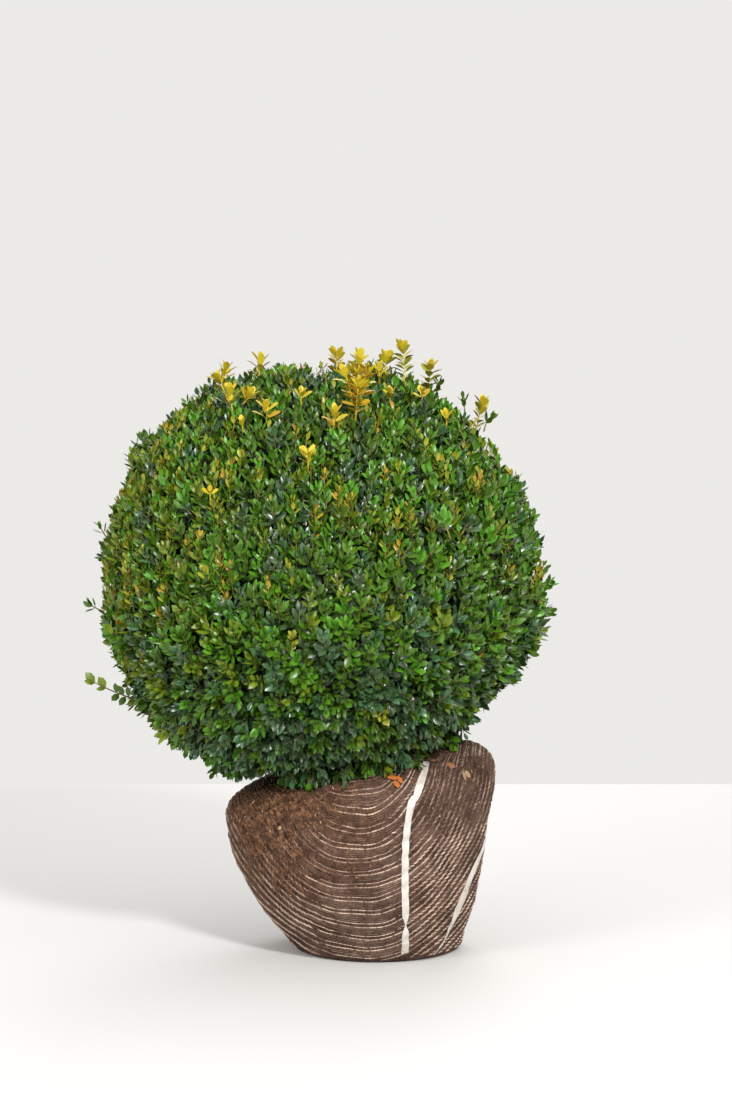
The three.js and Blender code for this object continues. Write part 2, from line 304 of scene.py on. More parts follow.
# Knit cells lighter in the middle and darker at their sunken edges: holes showing soil, and painted
# shade.
knit_holes_and_shade = add_ramp(tree, knit.outputs["Distance"], KNIT_SHADES)
knitted = add_mix(tree, soiled.outputs[2], knit_holes_and_shade, "MULTIPLY")
knitted.inputs[0].default_value = KNIT_DARKENING
tree.links.new(knitted.outputs[2], shader.inputs["Base Color"])
add_bump(tree, shader, knit.outputs["Distance"], strength=0.7, distance=-0.0006)

root_ball = new_object("netted_root_ball", net_mesh)
place_piece(root_ball, net_material, "netted_soil", "root_ball")


def surface_of(mesh):
    """The mesh as a surface to cast rays at and to find nearest points on."""
    return BVHTree.FromPolygons(
        [vertex.co for vertex in mesh.vertices], [face.vertices for face in mesh.polygons]
    )


net_surface = surface_of(net_mesh)


# Rows of the knit
# Pale tan threads, two to a row, that stand proud of the net and follow its level lines.
# In front the net is pulled tight and they lie close; on the flanks each opens into a fat twisted
# rope of slanting stitches. They are browned where soil has come through.
# On the right shoulder they are darker still, as painted shade.
THREAD_RADIUS = 0.001
# How far apart the two threads of a row lie in front and on the flanks, as shares of a row, and
# how much a surface faces sideways where the flanks set in.
THREAD_APART = 0.3
ROPES_APART = 0.5
FLANK_FROM = (0.22, 0.55)
THREAD_STEP = 0.002
FEWEST_STEPS = 3
THREAD_BEAD = 0.0045
THREAD_BEADING = 0.3
THREAD_END = 0.3
THREAD_FLATNESS = 0.8
THREAD_ROLL = 0.25
THREAD_RUN = 9
SHORTEST_RUN = 3
THREAD_SIDES = 3
# Fine courses of the knit between the rows: their places as shares of a row, and how dull they are.
COURSES = (0.3, 0.43, 0.57, 0.7)
COURSE_RADIUS = 0.00042
COURSE_DULLED = 0.42
COURSE_STEPS = 2
THREAD_LOWEST = 0.0025
STITCH_RADIUS = 0.002
STITCH_FLATNESS = 0.6
STITCH_LENGTH = 0.0084
STITCH_TURN = math.radians(23)
# How far along a stitch each ring of it lies, and how fat the stitch is there.
STITCH_RINGS = ((0, 0.3), (0.3, 1), (0.7, 1), (1, 0.3))
STITCH_EVERY = 3
STITCH_SIDES = 3
STITCH_DULLED = 0.05
FRONT_DULLS_STITCH = 0.3
LEAST_FLANK = 0.12
LEAST_FATNESS = 0.35
HIDDEN_THREAD_FLANK = 0.8
# Thread tones: the share of soil and painted shoulder shade up to which each is used, and its darkest,
# middle and palest colours.
THREAD_TONES = {
    "pale": (0.06, ((0.23, 0.15, 0.105), (0.44, 0.315, 0.235), (0.62, 0.465, 0.355))),
    "light_tan": (0.2, ((0.165, 0.105, 0.075), (0.32, 0.222, 0.168), (0.48, 0.355, 0.275))),
    "tan": (0.36, ((0.12, 0.075, 0.052), (0.24, 0.162, 0.12), (0.38, 0.27, 0.207))),
    "brown": (0.55, ((0.07, 0.042, 0.028), (0.15, 0.095, 0.065), (0.26, 0.175, 0.125))),
    "soiled": (9.0, ((0.03, 0.018, 0.011), (0.085, 0.048, 0.03), (0.17, 0.1, 0.06))),
}
THREAD_SHADE_PLACES = (0.34, 0.5, 0.64)


def unit(vectors):
    return vectors / np.linalg.norm(vectors, axis=-1, keepdims=True)


def level_lines(points, triangles, values, level):
    """The lines on a triangle mesh where values crosses level, each as a list of points."""
    above = values[triangles] > level
    crossing = np.nonzero(above.any(1) & ~above.all(1))[0]
    ends = {}
    spots = {}
    for index in crossing:
        corners = triangles[index]
        keys = []
        for a, b in ((0, 1), (1, 2), (2, 0)):
            if above[index][a] != above[index][b]:
                low, high = sorted((corners[a], corners[b]))
                keys.append((low, high))
                if (low, high) not in spots:
                    share = (level - values[low]) / (values[high] - values[low])
                    spots[(low, high)] = points[low] + share * (points[high] - points[low])
        ends.setdefault(keys[0], []).append(keys[1])
        ends.setdefault(keys[1], []).append(keys[0])
    lines = []
    unused = set(ends)
    while unused:
        start = unused.pop()
        line = [start]
        for way in (0, 1):
            here = start
            while True:
                onward = [key for key in ends[here] if key in unused]
                if not onward:
                    break
                here = onward[0]
                unused.discard(here)
                if way == 0:
                    line.append(here)
                else:
                    line.insert(0, here)
        closed = len(line) > 2 and line[0] in ends[line[-1]]
        lines.append((np.array([spots[key] for key in line]), closed))
    return lines


def even_steps(line, closed, step):
    """The same line with its points a step apart."""
    if closed:
        line = np.vstack([line, line[:1]])
    lengths = np.linalg.norm(np.diff(line, axis=0), axis=1)
    along = np.concatenate([[0], np.cumsum(lengths)])
    count = max(FEWEST_STEPS, int(along[-1] / step))
    places = np.linspace(0, along[-1], count + 1)
    return np.stack([np.interp(places, along, line[:, axis]) for axis in range(3)], 1)


def thread_tube(line, outward, thickness):
    """Rings of points round a thread, thick and thin by turns where the stitches pull."""
    sideways = np.cross(unit(np.gradient(line, axis=0)), outward)
    beads = np.arange(len(line)) * THREAD_STEP / THREAD_BEAD
    radius = thickness * (1 + THREAD_BEADING * np.sin(math.tau * beads))
    radius[[0, -1]] *= THREAD_END
    sides = []
    for turn in math.tau * (np.arange(THREAD_SIDES) + THREAD_ROLL) / THREAD_SIDES:
        spokes = math.cos(turn) * sideways + THREAD_FLATNESS * math.sin(turn) * outward
        sides.append(line + radius[:, None] * spokes)
    return np.stack(sides, 1)


def tube_faces(stations, sides, first=0):
    """Triangles over rings of points, closed at both ends."""
    ring = first + sides * np.arange(stations - 1)[:, None]
    corner = np.arange(sides)[None, :]
    following = (corner + 1) % sides
    lower, lower_next = ring + corner, ring + following
    upper, upper_next = lower + sides, lower_next + sides
    walls = np.stack(
        [np.stack([lower, lower_next, upper_next], -1), np.stack([lower, upper_next, upper], -1)]
    ).reshape(-1, 3)
    fan = np.stack([np.zeros(sides - 2, int), np.arange(2, sides), np.arange(1, sides - 1)], 1)
    last = first + sides * (stations - 1)
    return np.vstack([walls, first + fan, last + fan[:, ::-1]])


def mesh_piece(name, points, triangles):
    """A smooth-shaded object from arrays of points and triangles."""
    mesh = bpy.data.meshes.new(name)
    mesh.vertices.add(len(points))
    mesh.vertices.foreach_set("co", np.asarray(points, np.float32).ravel())
    mesh.loops.add(triangles.size)
    mesh.loops.foreach_set("vertex_index", np.asarray(triangles, np.int32).ravel())
    mesh.polygons.add(len(triangles))
    mesh.polygons.foreach_set("loop_start", np.arange(0, triangles.size, 3, dtype=np.int32))
    mesh.update(calc_edges=True)
    mesh.shade_smooth()
    return new_object(name, mesh)


net_mesh.calc_loop_triangles()
net_triangles = np.array([triangle.vertices for triangle in net_mesh.loop_triangles])
net_levels = np.array([row_level(Vector(point)) for point in net_points])
net_flanks = smooth_share(abs(vertex_array(net_mesh, "normal")[:, 0]), *FLANK_FROM)
threads_apart = THREAD_APART + (ROPES_APART - THREAD_APART) * net_flanks
net_lines = []
for row in range(1, math.ceil(net_levels.max())):
    for edge in (-0.5, 0.5):
        lines = level_lines(net_points, net_triangles, net_levels - edge * threads_apart, row)
        net_lines += [even_steps(line, closed, THREAD_STEP) for line, closed in lines]
tone_parts = {tone: ([], []) for tone in THREAD_TONES}


def add_rings(rings, sides, dulled):
    """Puts rings of points into the part of the net whose tone suits the soil, and the painted shade of
    the right shoulder, where they lie.
    """
    share = soil_and_shade_share(Vector(rings[len(rings) // 2].mean(0))) + dulled
    tone = next(name for name, (most, colours) in THREAD_TONES.items() if share < most)
    points, triangles = tone_parts[tone]
    triangles.append(tube_faces(len(rings), sides, sum(len(some) for some in points)))
    points.append(rings.reshape(-1, 3))


def outward_at(points):
    return np.array([net_surface.find_nearest(Vector(point))[1] for point in points])


def add_runs(line, thickness, dulled):
    """Lays a thread along a line of the net, in short runs of one tone each."""
    for first in range(0, len(line) - SHORTEST_RUN, THREAD_RUN):
        run = line[first : first + THREAD_RUN + 1]
        if run[:, 2].min() > THREAD_LOWEST and len(run) > SHORTEST_RUN:
            outward = outward_at(run)
            if smooth_share(abs(outward[0][0]), *FLANK_FROM) < HIDDEN_THREAD_FLANK:
                add_rings(thread_tube(run, outward, thickness), THREAD_SIDES, dulled)


for line in net_lines:
    add_runs(line, THREAD_RADIUS, 0)
for row in range(math.ceil(net_levels.max())):
    for course in COURSES:
        for line, closed in level_lines(net_points, net_triangles, net_levels, row + course):
            line = even_steps(line, closed, COURSE_STEPS * THREAD_STEP)
            add_runs(line, COURSE_RADIUS, COURSE_DULLED)


def stitch_tube(middle, heading, outward, fatness):
    """Rings of points round one fat, flattened stitch that slants across its thread."""
    aside = np.cross(heading, outward)
    along = math.cos(STITCH_TURN) * heading + math.sin(STITCH_TURN) * aside
    across = np.cross(along, outward)
    turns = math.tau * np.arange(STITCH_SIDES) / STITCH_SIDES
    ring = [math.sin(turn) * across + STITCH_FLATNESS * math.cos(turn) * outward for turn in turns]
    ring = fatness * STITCH_RADIUS * np.array(ring)
    rings = [
        middle + (share - 0.5) * fatness * STITCH_LENGTH * along + fat * ring
        for share, fat in STITCH_RINGS
    ]
    return np.array(rings)


for line in net_lines:
    onward = unit(np.gradient(line, axis=0))
    for middle, heading in zip(line[::STITCH_EVERY], onward[::STITCH_EVERY]):
        if middle[2] < 2 * THREAD_LOWEST:
            continue
        outward = outward_at([middle])[0]
        flank = smooth_share(abs(outward[0]), *FLANK_FROM)
        if flank > LEAST_FLANK:
            dulled = STITCH_DULLED + FRONT_DULLS_STITCH * (1 - flank)
            fatness = LEAST_FATNESS + (1 - LEAST_FATNESS) * flank
            add_rings(stitch_tube(middle, heading, outward, fatness), STITCH_SIDES, dulled)

for tone, (most, colours) in THREAD_TONES.items():
    thread_material, tree, shader = new_material(
        "thread_" + tone, colours[1], roughness=0.88, gloss=NET_GLOSS
    )
    shades = list(zip(THREAD_SHADE_PLACES, colours))
    add_mottle(tree, shader, shades, Scale=90, Detail=4, Roughness=0.7)
    points, triangles = tone_parts[tone]
    threads = mesh_piece("net_threads_" + tone, np.vstack(points), np.vstack(triangles))
    place_piece(threads, thread_material, "netted_soil")


# Soil crumbs
# Crumbs of soil and bits of dry root and bark that have worked out through the net.
# They are flat flakes and splinters a few millimetres long, thickest on the left shoulder.
SOIL_SEED = 5
CRUMB_COUNT = 3200
SPOTS_TO_A_CRUMB = 12
# A spot holds a crumb if its share of soil and painted shoulder shade is over a number drawn from
# between these.
SOIL_AND_SHADE_NEEDED = (0.1, 1.1)
CRUMB_LOWEST = 0.01
CRUMB_LENGTHS = (0.0018, 0.0068)
CRUMB_SHORTENING = (0.4, 1)
CRUMB_CHIPPING = (0.6, 1)
CRUMB_WIDTHS = (0.25, 0.75)
CRUMB_FLATNESS = 0.25
CRUMB_STANDS_OFF = 0.1
# Share and colour of each tone, and how much darker and paler than that a crumb is in places.
CRUMB_TONES = {
    "pale_crumbs": (0.16, (0.4, 0.25, 0.14)),
    "rusty_crumbs": (0.52, (0.22, 0.1, 0.045)),
    "dark_crumbs": (0.32, (0.05, 0.026, 0.016)),
}
CRUMB_SHADING = (0.5, 1, 1.4)
CRUMB_SHADE_PLACES = (0.3, 0.5, 0.7)
# The larger chips that catch the light on the shoulders: place and length.
CHIPS = [
    ((-0.1433, -0.0947, 0.1847), 0.011),
    ((-0.1121, -0.1403, 0.1655), 0.010),
    ((-0.1591, -0.0857, 0.1667), 0.007),
    ((-0.1241, -0.1298, 0.1604), 0.006),
    ((-0.0652, -0.1636, 0.1760), 0.006),
    ((-0.0791, -0.1592, 0.1707), 0.005),
    ((0.1014, -0.0867, 0.2227), 0.007),
]
CRUMB_CORNERS = np.array(
    [(1, 0, 0), (-1, 0.1, 0), (0.1, 0.7, 0), (-0.1, -0.7, 0), (0.2, 0, 1), (0, 0, -1)]
)
CRUMB_FACES = np.array(
    [(0, 2, 4), (2, 1, 4), (1, 3, 4), (3, 0, 4), (2, 0, 5), (1, 2, 5), (3, 1, 5), (0, 3, 5)]
)

soil_random = np.random.default_rng(SOIL_SEED)
spots = net_points[soil_random.integers(0, len(net_points), SPOTS_TO_A_CRUMB * CRUMB_COUNT)]
# This share counts the painted shade of the right shoulder as well as the soil.
soil = np.array([soil_and_shade_share(Vector(spot)) for spot in spots])
chosen = (soil > soil_random.uniform(*SOIL_AND_SHADE_NEEDED, len(spots))) & (spots[:, 2] > CRUMB_LOWEST)
spots = spots[chosen][:CRUMB_COUNT]
crumb_sizes = soil_random.uniform(*CRUMB_LENGTHS, len(spots))
crumb_sizes *= soil_random.uniform(*CRUMB_SHORTENING, len(spots))
spots = np.vstack([spots, [place for place, length in CHIPS]])
crumb_sizes = np.concatenate([crumb_sizes, [length for place, length in CHIPS]])
spot_ways = outward_at(spots)
spots = np.array([net_surface.find_nearest(Vector(spot))[0] for spot in spots])
across = unit(np.cross(spot_ways, soil_random.normal(0, 1, spots.shape)))
along = np.cross(across, spot_ways)
chipping = soil_random.uniform(*CRUMB_CHIPPING, (len(spots), len(CRUMB_CORNERS), 1))
corners = CRUMB_CORNERS * chipping
corners *= (crumb_sizes / 2)[:, None, None]
corners[:, :, 1] *= soil_random.uniform(*CRUMB_WIDTHS, (len(spots), 1))
corners[:, :, 2] *= CRUMB_FLATNESS
crumb_points = spots[:, None] + CRUMB_STANDS_OFF * crumb_sizes[:, None, None] * spot_ways[:, None]
for number, way in enumerate((along, across, spot_ways)):
    crumb_points = crumb_points + corners[:, :, number, None] * way[:, None]
tone_shares = [share for share, colour in CRUMB_TONES.values()]
crumb_tone = soil_random.choice(len(CRUMB_TONES), len(spots), p=tone_shares)
crumb_tone[-len(CHIPS) :] = 0
for number, (name, (share, colour)) in enumerate(CRUMB_TONES.items()):
    some = crumb_points[crumb_tone == number]
    faces = CRUMB_FACES[None] + len(CRUMB_CORNERS) * np.arange(len(some))[:, None, None]
    crumbs = mesh_piece(name, some.reshape(-1, 3), faces.reshape(-1, 3))
    crumbs.data.shade_flat()
    crumb_material, tree, shader = new_material(name, colour, roughness=0.9, gloss=NET_GLOSS)
    colours = [tuple(shade * value for value in colour) for shade in CRUMB_SHADING]
    add_mottle(tree, shader, list(zip(CRUMB_SHADE_PLACES, colours)), Scale=260, Detail=3)
    place_piece(crumbs, crumb_material, "netted_soil")


# Tie strips
# Two flat white plastic bands that tie the net together and lie tight over it.
# The long one is cut square and twisted narrow near its foot. The short one is spread wide at its
# middle and runs out to a thin tail.
BAND_SUBDIVISIONS = 3
BAND_WAVE = 0.0007
BAND_WAVE_ABOVE = 0.0016
BAND_WAVE_FINENESS = 110
BAND_EDGES_APART = 3
FRAYED_FROM = (0.12, 0.18)
BAND_STANDS_OFF = 0.0014
SAME_HEIGHT = 0.004
TWIST_HEIGHT = 0.049
TWIST_REACH = 0.008
TWIST_NARROWING = 0.78
BAND_SHADES = [(0.25, (0.42, 0.36, 0.3)), (0.45, (0.57, 0.52, 0.47)), (0.7, (0.63, 0.59, 0.55))]

strip_material, tree, shader = new_material("white_band", (0.66, 0.62, 0.58), roughness=0.55)
add_mottle(tree, shader, BAND_SHADES, Scale=45, Detail=3)
for node in ("tie_strip_long", "tie_strip_short"):
    band_mesh = smoothed_copy(node, BAND_SUBDIVISIONS, "SIMPLE")
    band_points = vertex_array(band_mesh, "co")
    heights = band_points[:, 2]
    levels = [np.abs(heights - height) < SAME_HEIGHT for height in heights]
    middles = np.array([band_points[level].mean(0) for level in levels])
    if node == "tie_strip_long":
        narrowing = TWIST_NARROWING * np.exp(-(((heights - TWIST_HEIGHT) / TWIST_REACH) ** 2))
        sideways = band_points[:, :2] - middles[:, :2]
        band_points[:, :2] -= narrowing[:, None] * sideways
    for index, point in enumerate(band_points):
        edge = BAND_EDGES_APART if point[0] > middles[index, 0] else -BAND_EDGES_APART
        wave = BAND_WAVE + (BAND_WAVE_ABOVE - BAND_WAVE) * smooth_share(point[2], *FRAYED_FROM)
        band_points[index, 0] += wave * noise.noise(Vector((edge, 0, point[2] * BAND_WAVE_FINENESS)))
        place, outward = net_surface.find_nearest(Vector(band_points[index]))[:2]
        if outward.dot(Vector(band_points[index]) - place) > BAND_STANDS_OFF:
            band_points[index] = place + BAND_STANDS_OFF * outward
    move_vertices(band_mesh, band_points)
    place_piece(new_object(node + "_band", band_mesh), strip_material, "tie_strip", node)


# Stem and boughs
# The short woody stem stands on its root flare and forks into boughs in the bare space under the ball.
# Box bark is thin, pale brown and finely ridged along the limb.
LIMB_SUBDIVISIONS = 2
BARK_RIDGE = 0.0007
RIDGE_FINENESS = np.array([260, 260, 60])
GRAIN_STRETCH = (1, 1, 0.3)
BARK_SHADES = [(0.3, (0.07, 0.05, 0.03)), (0.5, (0.19, 0.135, 0.08)), (0.7, (0.33, 0.25, 0.16))]
BOUGH_NODES = ["bough_%d" % number for number in range(1, 7)]

bark_material, tree, shader = new_material("box_bark", (0.2, 0.14, 0.08), roughness=0.9)
along_limb = add_placed_node(tree, "ShaderNodeMapping", Scale=GRAIN_STRETCH)
grain = add_node(tree, "ShaderNodeTexNoise", Scale=420, Detail=5, Roughness=0.65)
tree.links.new(along_limb.outputs["Vector"], grain.inputs["Vector"])
tree.links.new(add_ramp(tree, grain.outputs["Fac"], BARK_SHADES), shader.inputs["Base Color"])
add_bump(tree, shader, grain.outputs["Fac"], strength=0.6, distance=0.001)
for node in ["main_stem"] + BOUGH_NODES:
    limb_mesh = smoothed_copy(node, LIMB_SUBDIVISIONS)
    limb_points = vertex_array(limb_mesh, "co")
    limb_outward = vertex_array(limb_mesh, "normal")
    for index, point in enumerate(limb_points):
        ridge = noise.noise(Vector(point * RIDGE_FINENESS))
        limb_points[index] += limb_outward[index] * BARK_RIDGE * ridge
    move_vertices(limb_mesh, limb_points)
    limb_mesh.shade_smooth()
    place_piece(new_object(node + "_bark", limb_mesh), bark_material, "bark", node)


# Branches
# From the ends of the boughs the branches fork again and again out to the clipped skin of the ball.
# Each fork is joined to the nearest older one and carries on from it in a bend.
BRANCH_SEED = 11
BALL_CENTRE = np.array([-0.067, 0.0, 0.438])
BALL_RADIUS = 0.27
# Distance from the middle of the ball and number of the forks of each order.
FORK_SHELLS = ((0.075, 14), (0.135, 48), (0.188, 190), (0.23, 850))
FORK_SCATTER = 0.006
FORK_SKIN = 0.016
FORK_FLARE = 0.5
OUTER_FORKS_FROM = 0.17
LIMB_END = 0.004
# The place from which the ends of the stem and boughs point outward.
LIMBS_SPREAD_FROM = np.array([-0.04, 0, 0.27])
THINNEST_BRANCH = 0.00062
BRANCH_SWELL = 0.4
BRANCH_BEND = 0.4
BRANCH_TAPER = 0.12
BRANCH_SIDES = 5
BRANCH_STATIONS = 5
# A direction that no stalk follows, to measure the turn of its sides from.
TUBE_SIDE = np.array([0.31, 0.58, 0.75])
UP = np.array([0, 0, 1.0])

random = np.random.default_rng(BRANCH_SEED)
clipped_surface = surface_of(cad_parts["foliage_ball"].data)


def spread_directions(count):
    """Directions spread evenly over a sphere."""
    step = np.arange(count) + 0.5
    up = 1 - 2 * step / count
    turn = step * math.pi * (1 + math.sqrt(5))
    flat = np.sqrt(1 - up * up)
    return np.stack([flat * np.cos(turn), flat * np.sin(turn), up], 1)


def square_to(vectors, axes):
    """The part of each vector that is square to its axis, one long."""
    return unit(vectors - (vectors * axes).sum(-1, keepdims=True) * axes)


def reaches_of(ways):
    """How far the foliage goes from the middle of the ball in each direction."""
    centre = Vector(BALL_CENTRE)
    return np.array([clipped_surface.ray_cast(centre, Vector(way))[3] or 0 for way in ways])


def nearest_of(points, choices):
    return np.array([((choices - point) ** 2).sum(1).argmin() for point in points])


def bend_points(starts, bends, tips, shares):
    """Places and headings along curves that leave each start towards its bend and end at its tip."""
    share = shares[..., None]
    start, bend, tip = starts[:, None], bends[:, None], tips[:, None]
    places = (1 - share) ** 2 * start + 2 * share * (1 - share) * bend + share**2 * tip
    headings = unit((1 - share) * (bend - start) + share * (tip - bend))
    return places, headings


def tube_mesh(paths, headings, radii, sides):
    """Points and triangles of tapering tubes along many paths of the same number of stations."""
    aside = square_to(unit(np.cross(headings.mean(1), TUBE_SIDE))[:, None], headings)
    across = np.cross(headings, aside)
    turns = math.tau * np.arange(sides) / sides
    ring = np.cos(turns)[:, None] * aside[:, :, None] + np.sin(turns)[:, None] * across[:, :, None]
    points = paths[:, :, None] + radii[:, :, None, None] * ring
    tube_count, stations = radii.shape
    first = stations * sides * np.arange(tube_count)[:, None, None]
    return points.reshape(-1, 3), (tube_faces(stations, sides)[None] + first).reshape(-1, 3)


def corners_of(node):
    return np.array([vertex.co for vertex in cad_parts[node].data.vertices])


def upper_end(node):
    """The end of a limb where it enters the foliage."""
    corners = corners_of(node)
    height = corners[:, 2]
    return corners[height > height.max() - LIMB_END].mean(0)


forks = np.array([upper_end(node) for node in ["main_stem"] + BOUGH_NODES])
fork_headings = unit(forks - LIMBS_SPREAD_FROM)
fork_parents = np.full(len(forks), -1)
for shell, count in FORK_SHELLS:
    ways = spread_directions(count)
    ways = ways[reaches_of(ways) - FORK_SKIN > shell]
    grown = BALL_CENTRE + ways * shell + random.normal(0, FORK_SCATTER, ways.shape)
    parents = nearest_of(grown, forks)
    grown_headings = unit(unit(grown - forks[parents]) + FORK_FLARE * ways)
    fork_headings = np.vstack([fork_headings, grown_headings])
    fork_parents = np.concatenate([fork_parents, parents])
    forks = np.vstack([forks, grown])
outer_forks = np.nonzero(np.linalg.norm(forks - BALL_CENTRE, axis=1) > OUTER_FORKS_FROM)[0]


# Shoots
# Thin, upright young shoots fill the skin of the ball, about one to each clipped tip.
# They leave the branches and turn up towards the light, and lower down they droop outward.
SHOOT_COUNT = 4900
SHOOT_SCATTER = 0.012
LEAST_REACH = 0.2
# How deep the tips lie under the clipped surface: in the middle, their scatter and their limits,
# and the shallow tufts of the surface with their fineness.
TIP_DEPTH = 0.0065
TIP_SCATTER = 0.0045
TIP_DEPTHS = (-0.007, 0.02)
TUFT_DEPTH = 0.007
TUFT_FINENESS = 34
# Low shoots stay clear of the net, and hang over its edge as a skirt.
CLEAR_OF_NET = 0.006
SKIRT_REACH = 0.034
SKIRT_DROP = 0.021
# A tuft of the skirt in front of the stem hangs lower still: its place, breadth and drop.
LOW_TUFT_PLACE = -0.063
LOW_TUFT_BREADTH = 0.024
LOW_TUFT_DROP = 0.02
# Over both shoulders of the root ball the skirt is lifted instead: how high, up to where on the
# left, and from where on the right.
SHOULDER_CLEARANCE = 0.026
LEFT_SHOULDER = (-0.125, -0.09)
RIGHT_SHOULDER = (0.092, 0.13)
# Where the clipped outline of the front view swells or sinks: degrees up from the right, and metres.
OUTLINE_TUFTS = (
    (6, -0.018),
    (18, -0.003),
    (30, 0.005),
    (38, -0.024),
    (49, -0.007),
    (91, -0.018),
    (112, -0.005),
    (120, 0.005),
    (127, -0.010),
    (144, 0.009),
    (151, -0.013),
    (162, -0.005),
    (179, -0.028),
    (189, 0.007),
    (199, -0.017),
    (209, -0.011),
    (219, -0.010),
    (233, -0.010),
    (246, 0.004),
    (307, -0.005),
    (320, -0.008),
    (327, -0.009),
)
TUFT_BREADTH = math.radians(6)
# The swellings fade away from the outline by this power of the nearness to it.
OUTLINE_POWER = 6
# The forks that shoots grow from lie behind their tips and lower.
FORK_BEHIND = 0.02
FORK_BELOW = 0.012
# Stations along a stalk, its sides, and its radii at the foot and at the tip.
SHOOT_STALK = (3, 3, 0.0009, 0.0005)
SHOOT_BEND = 0.6
# Shoots stand upright above and droop below: between what heights, as shares of the ball.
UPRIGHT_FROM = (-0.75, 0.05)
UPRIGHT = 0.95
DROOPING = -0.05
LEAN_OUT_ABOVE = 0.38
LEAN_OUT_BELOW = 1.0
LEAN_SCATTER = 0.17
# Some shoots have grown out past the rest since the last clipping, fewer of them low on the ball.
PROUD_SHARE = 0.15
PROUD_FROM = (-0.7, 0)
PROUD_BELOW = 0.4
PROUD_BY = (0.004, 0.011)
# A gap in the clipped surface that shows the dark inside: its place, breadth and depth.
GAP_PLACE = np.array([0.069, -0.222, 0.511])
GAP_BREADTH = 0.015
GAP_DEPTH = 0.02


def noise_at(points, fineness):
    return np.array([noise.noise(Vector(point * fineness)) for point in points])


def shoot_bends(starts, tips, ways):
    """Where each shoot bends so that it ends upright high on the ball and outward low on it."""
    above = smooth_share(ways[:, 2], *UPRIGHT_FROM)
    lean_out = LEAN_OUT_BELOW + (LEAN_OUT_ABOVE - LEAN_OUT_BELOW) * above
    leaning = lean_out[:, None] * ways + random.normal(0, LEAN_SCATTER, ways.shape)
    leaning[:, 2] += DROOPING + (UPRIGHT - DROOPING) * above
    lengths = np.linalg.norm(tips - starts, axis=1)
    return tips - unit(leaning) * (SHOOT_BEND * lengths)[:, None]


def scattered_ways(count, scatter):
    """Directions spread over the ball, a little unevenly, and how far the foliage goes in each."""
    ways = unit(spread_directions(count) + random.normal(0, scatter, (count, 3)))
    reaches = reaches_of(ways)
    return ways[reaches > LEAST_REACH], reaches[reaches > LEAST_REACH]


def add_stalks(name, lines, stalk, *finish):
    """Tapering stalks along bent lines, which are given by their starts, bends and tips."""
    stations, sides, foot_radius, tip_radius = stalk
    shares = np.tile(np.linspace(0, 1, stations), (len(lines[0]), 1))
    paths, headings = bend_points(*lines, shares)
    radii = foot_radius + (tip_radius - foot_radius) * shares
    place_piece(mesh_piece(name, *tube_mesh(paths, headings, radii, sides)), *finish)


ways, reaches = scattered_ways(SHOOT_COUNT, SHOOT_SCATTER)
depths = TIP_DEPTH + random.normal(0, TIP_SCATTER, len(ways))
depths -= TUFT_DEPTH * noise_at(BALL_CENTRE + BALL_RADIUS * ways, TUFT_FINENESS)
depths = np.clip(depths, *TIP_DEPTHS)
proud_share = PROUD_BELOW + (1 - PROUD_BELOW) * smooth_share(ways[:, 2], *PROUD_FROM)
proud = random.random(len(ways)) < PROUD_SHARE * proud_share
depths -= proud * random.uniform(*PROUD_BY, len(ways))
turn = np.arctan2(ways[:, 2], ways[:, 0])
at_edge = np.hypot(ways[:, 0], ways[:, 2]) ** OUTLINE_POWER
for degrees, swell in OUTLINE_TUFTS:
    apart = np.angle(np.exp(1j * (turn - math.radians(degrees))))
    depths -= swell * np.exp(-((apart / TUFT_BREADTH) ** 2)) * at_edge
from_gap = np.linalg.norm(BALL_CENTRE + ways * reaches[:, None] - GAP_PLACE, axis=1)
depths += GAP_DEPTH * np.exp(-((from_gap / GAP_BREADTH) ** 2))
tips = BALL_CENTRE + ways * (reaches - depths)[:, None]
for index, tip in enumerate(tips):
    lowered = Vector(tip)
    closeness = max(0, 1 - net_surface.find_nearest(lowered)[3] / SKIRT_REACH)
    over_front = smooth_share(tip[0], *LEFT_SHOULDER) * (1 - smooth_share(tip[0], *RIGHT_SHOULDER))
    low_tuft = LOW_TUFT_DROP * math.exp(-(((tip[0] - LOW_TUFT_PLACE) / LOW_TUFT_BREADTH) ** 2))
    drop = SHOULDER_CLEARANCE + SKIRT_DROP + low_tuft
    lowered.z += closeness * (SHOULDER_CLEARANCE - drop * over_front)
    place, outward = net_surface.find_nearest(lowered)[:2]
    if outward.dot(lowered - place) < CLEAR_OF_NET:
        lowered = place + outward * CLEAR_OF_NET
    tips[index] = lowered
fork_places = tips - FORK_BEHIND * ways - FORK_BELOW * UP
shoot_forks = outer_forks[nearest_of(fork_places, forks[outer_forks])]
starts = forks[shoot_forks]
bends = shoot_bends(starts, tips, ways)
carried = np.bincount(shoot_forks, minlength=len(forks)).astype(float)
for index in range(len(forks) - 1, -1, -1):
    if fork_parents[index] >= 0:
        carried[fork_parents[index]] += carried[index]
grown_on = np.nonzero((fork_parents >= 0) & (carried > 0))[0]
parents = fork_parents[grown_on]
spans = np.linalg.norm(forks[grown_on] - forks[parents], axis=1)
branch_bends = forks[parents] + fork_headings[parents] * (BRANCH_BEND * spans)[:, None]
shares = np.tile(np.linspace(0, 1, BRANCH_STATIONS), (len(grown_on), 1))
paths, headings = bend_points(forks[parents], branch_bends, forks[grown_on], shares)
thick = THINNEST_BRANCH * carried[grown_on] ** BRANCH_SWELL
radii = thick[:, None] * (1 + BRANCH_TAPER - BRANCH_TAPER * shares)
branches = mesh_piece("branches", *tube_mesh(paths, headings, radii, BRANCH_SIDES))
place_piece(branches, bark_material, "bark", "foliage_ball")

shoot_lines = starts, bends, tips
twig_material = new_material("young_twig", (0.19, 0.125, 0.045), roughness=0.7)[0]
add_stalks("young_shoots", shoot_lines, SHOOT_STALK, twig_material, "box_foliage", "foliage_ball")


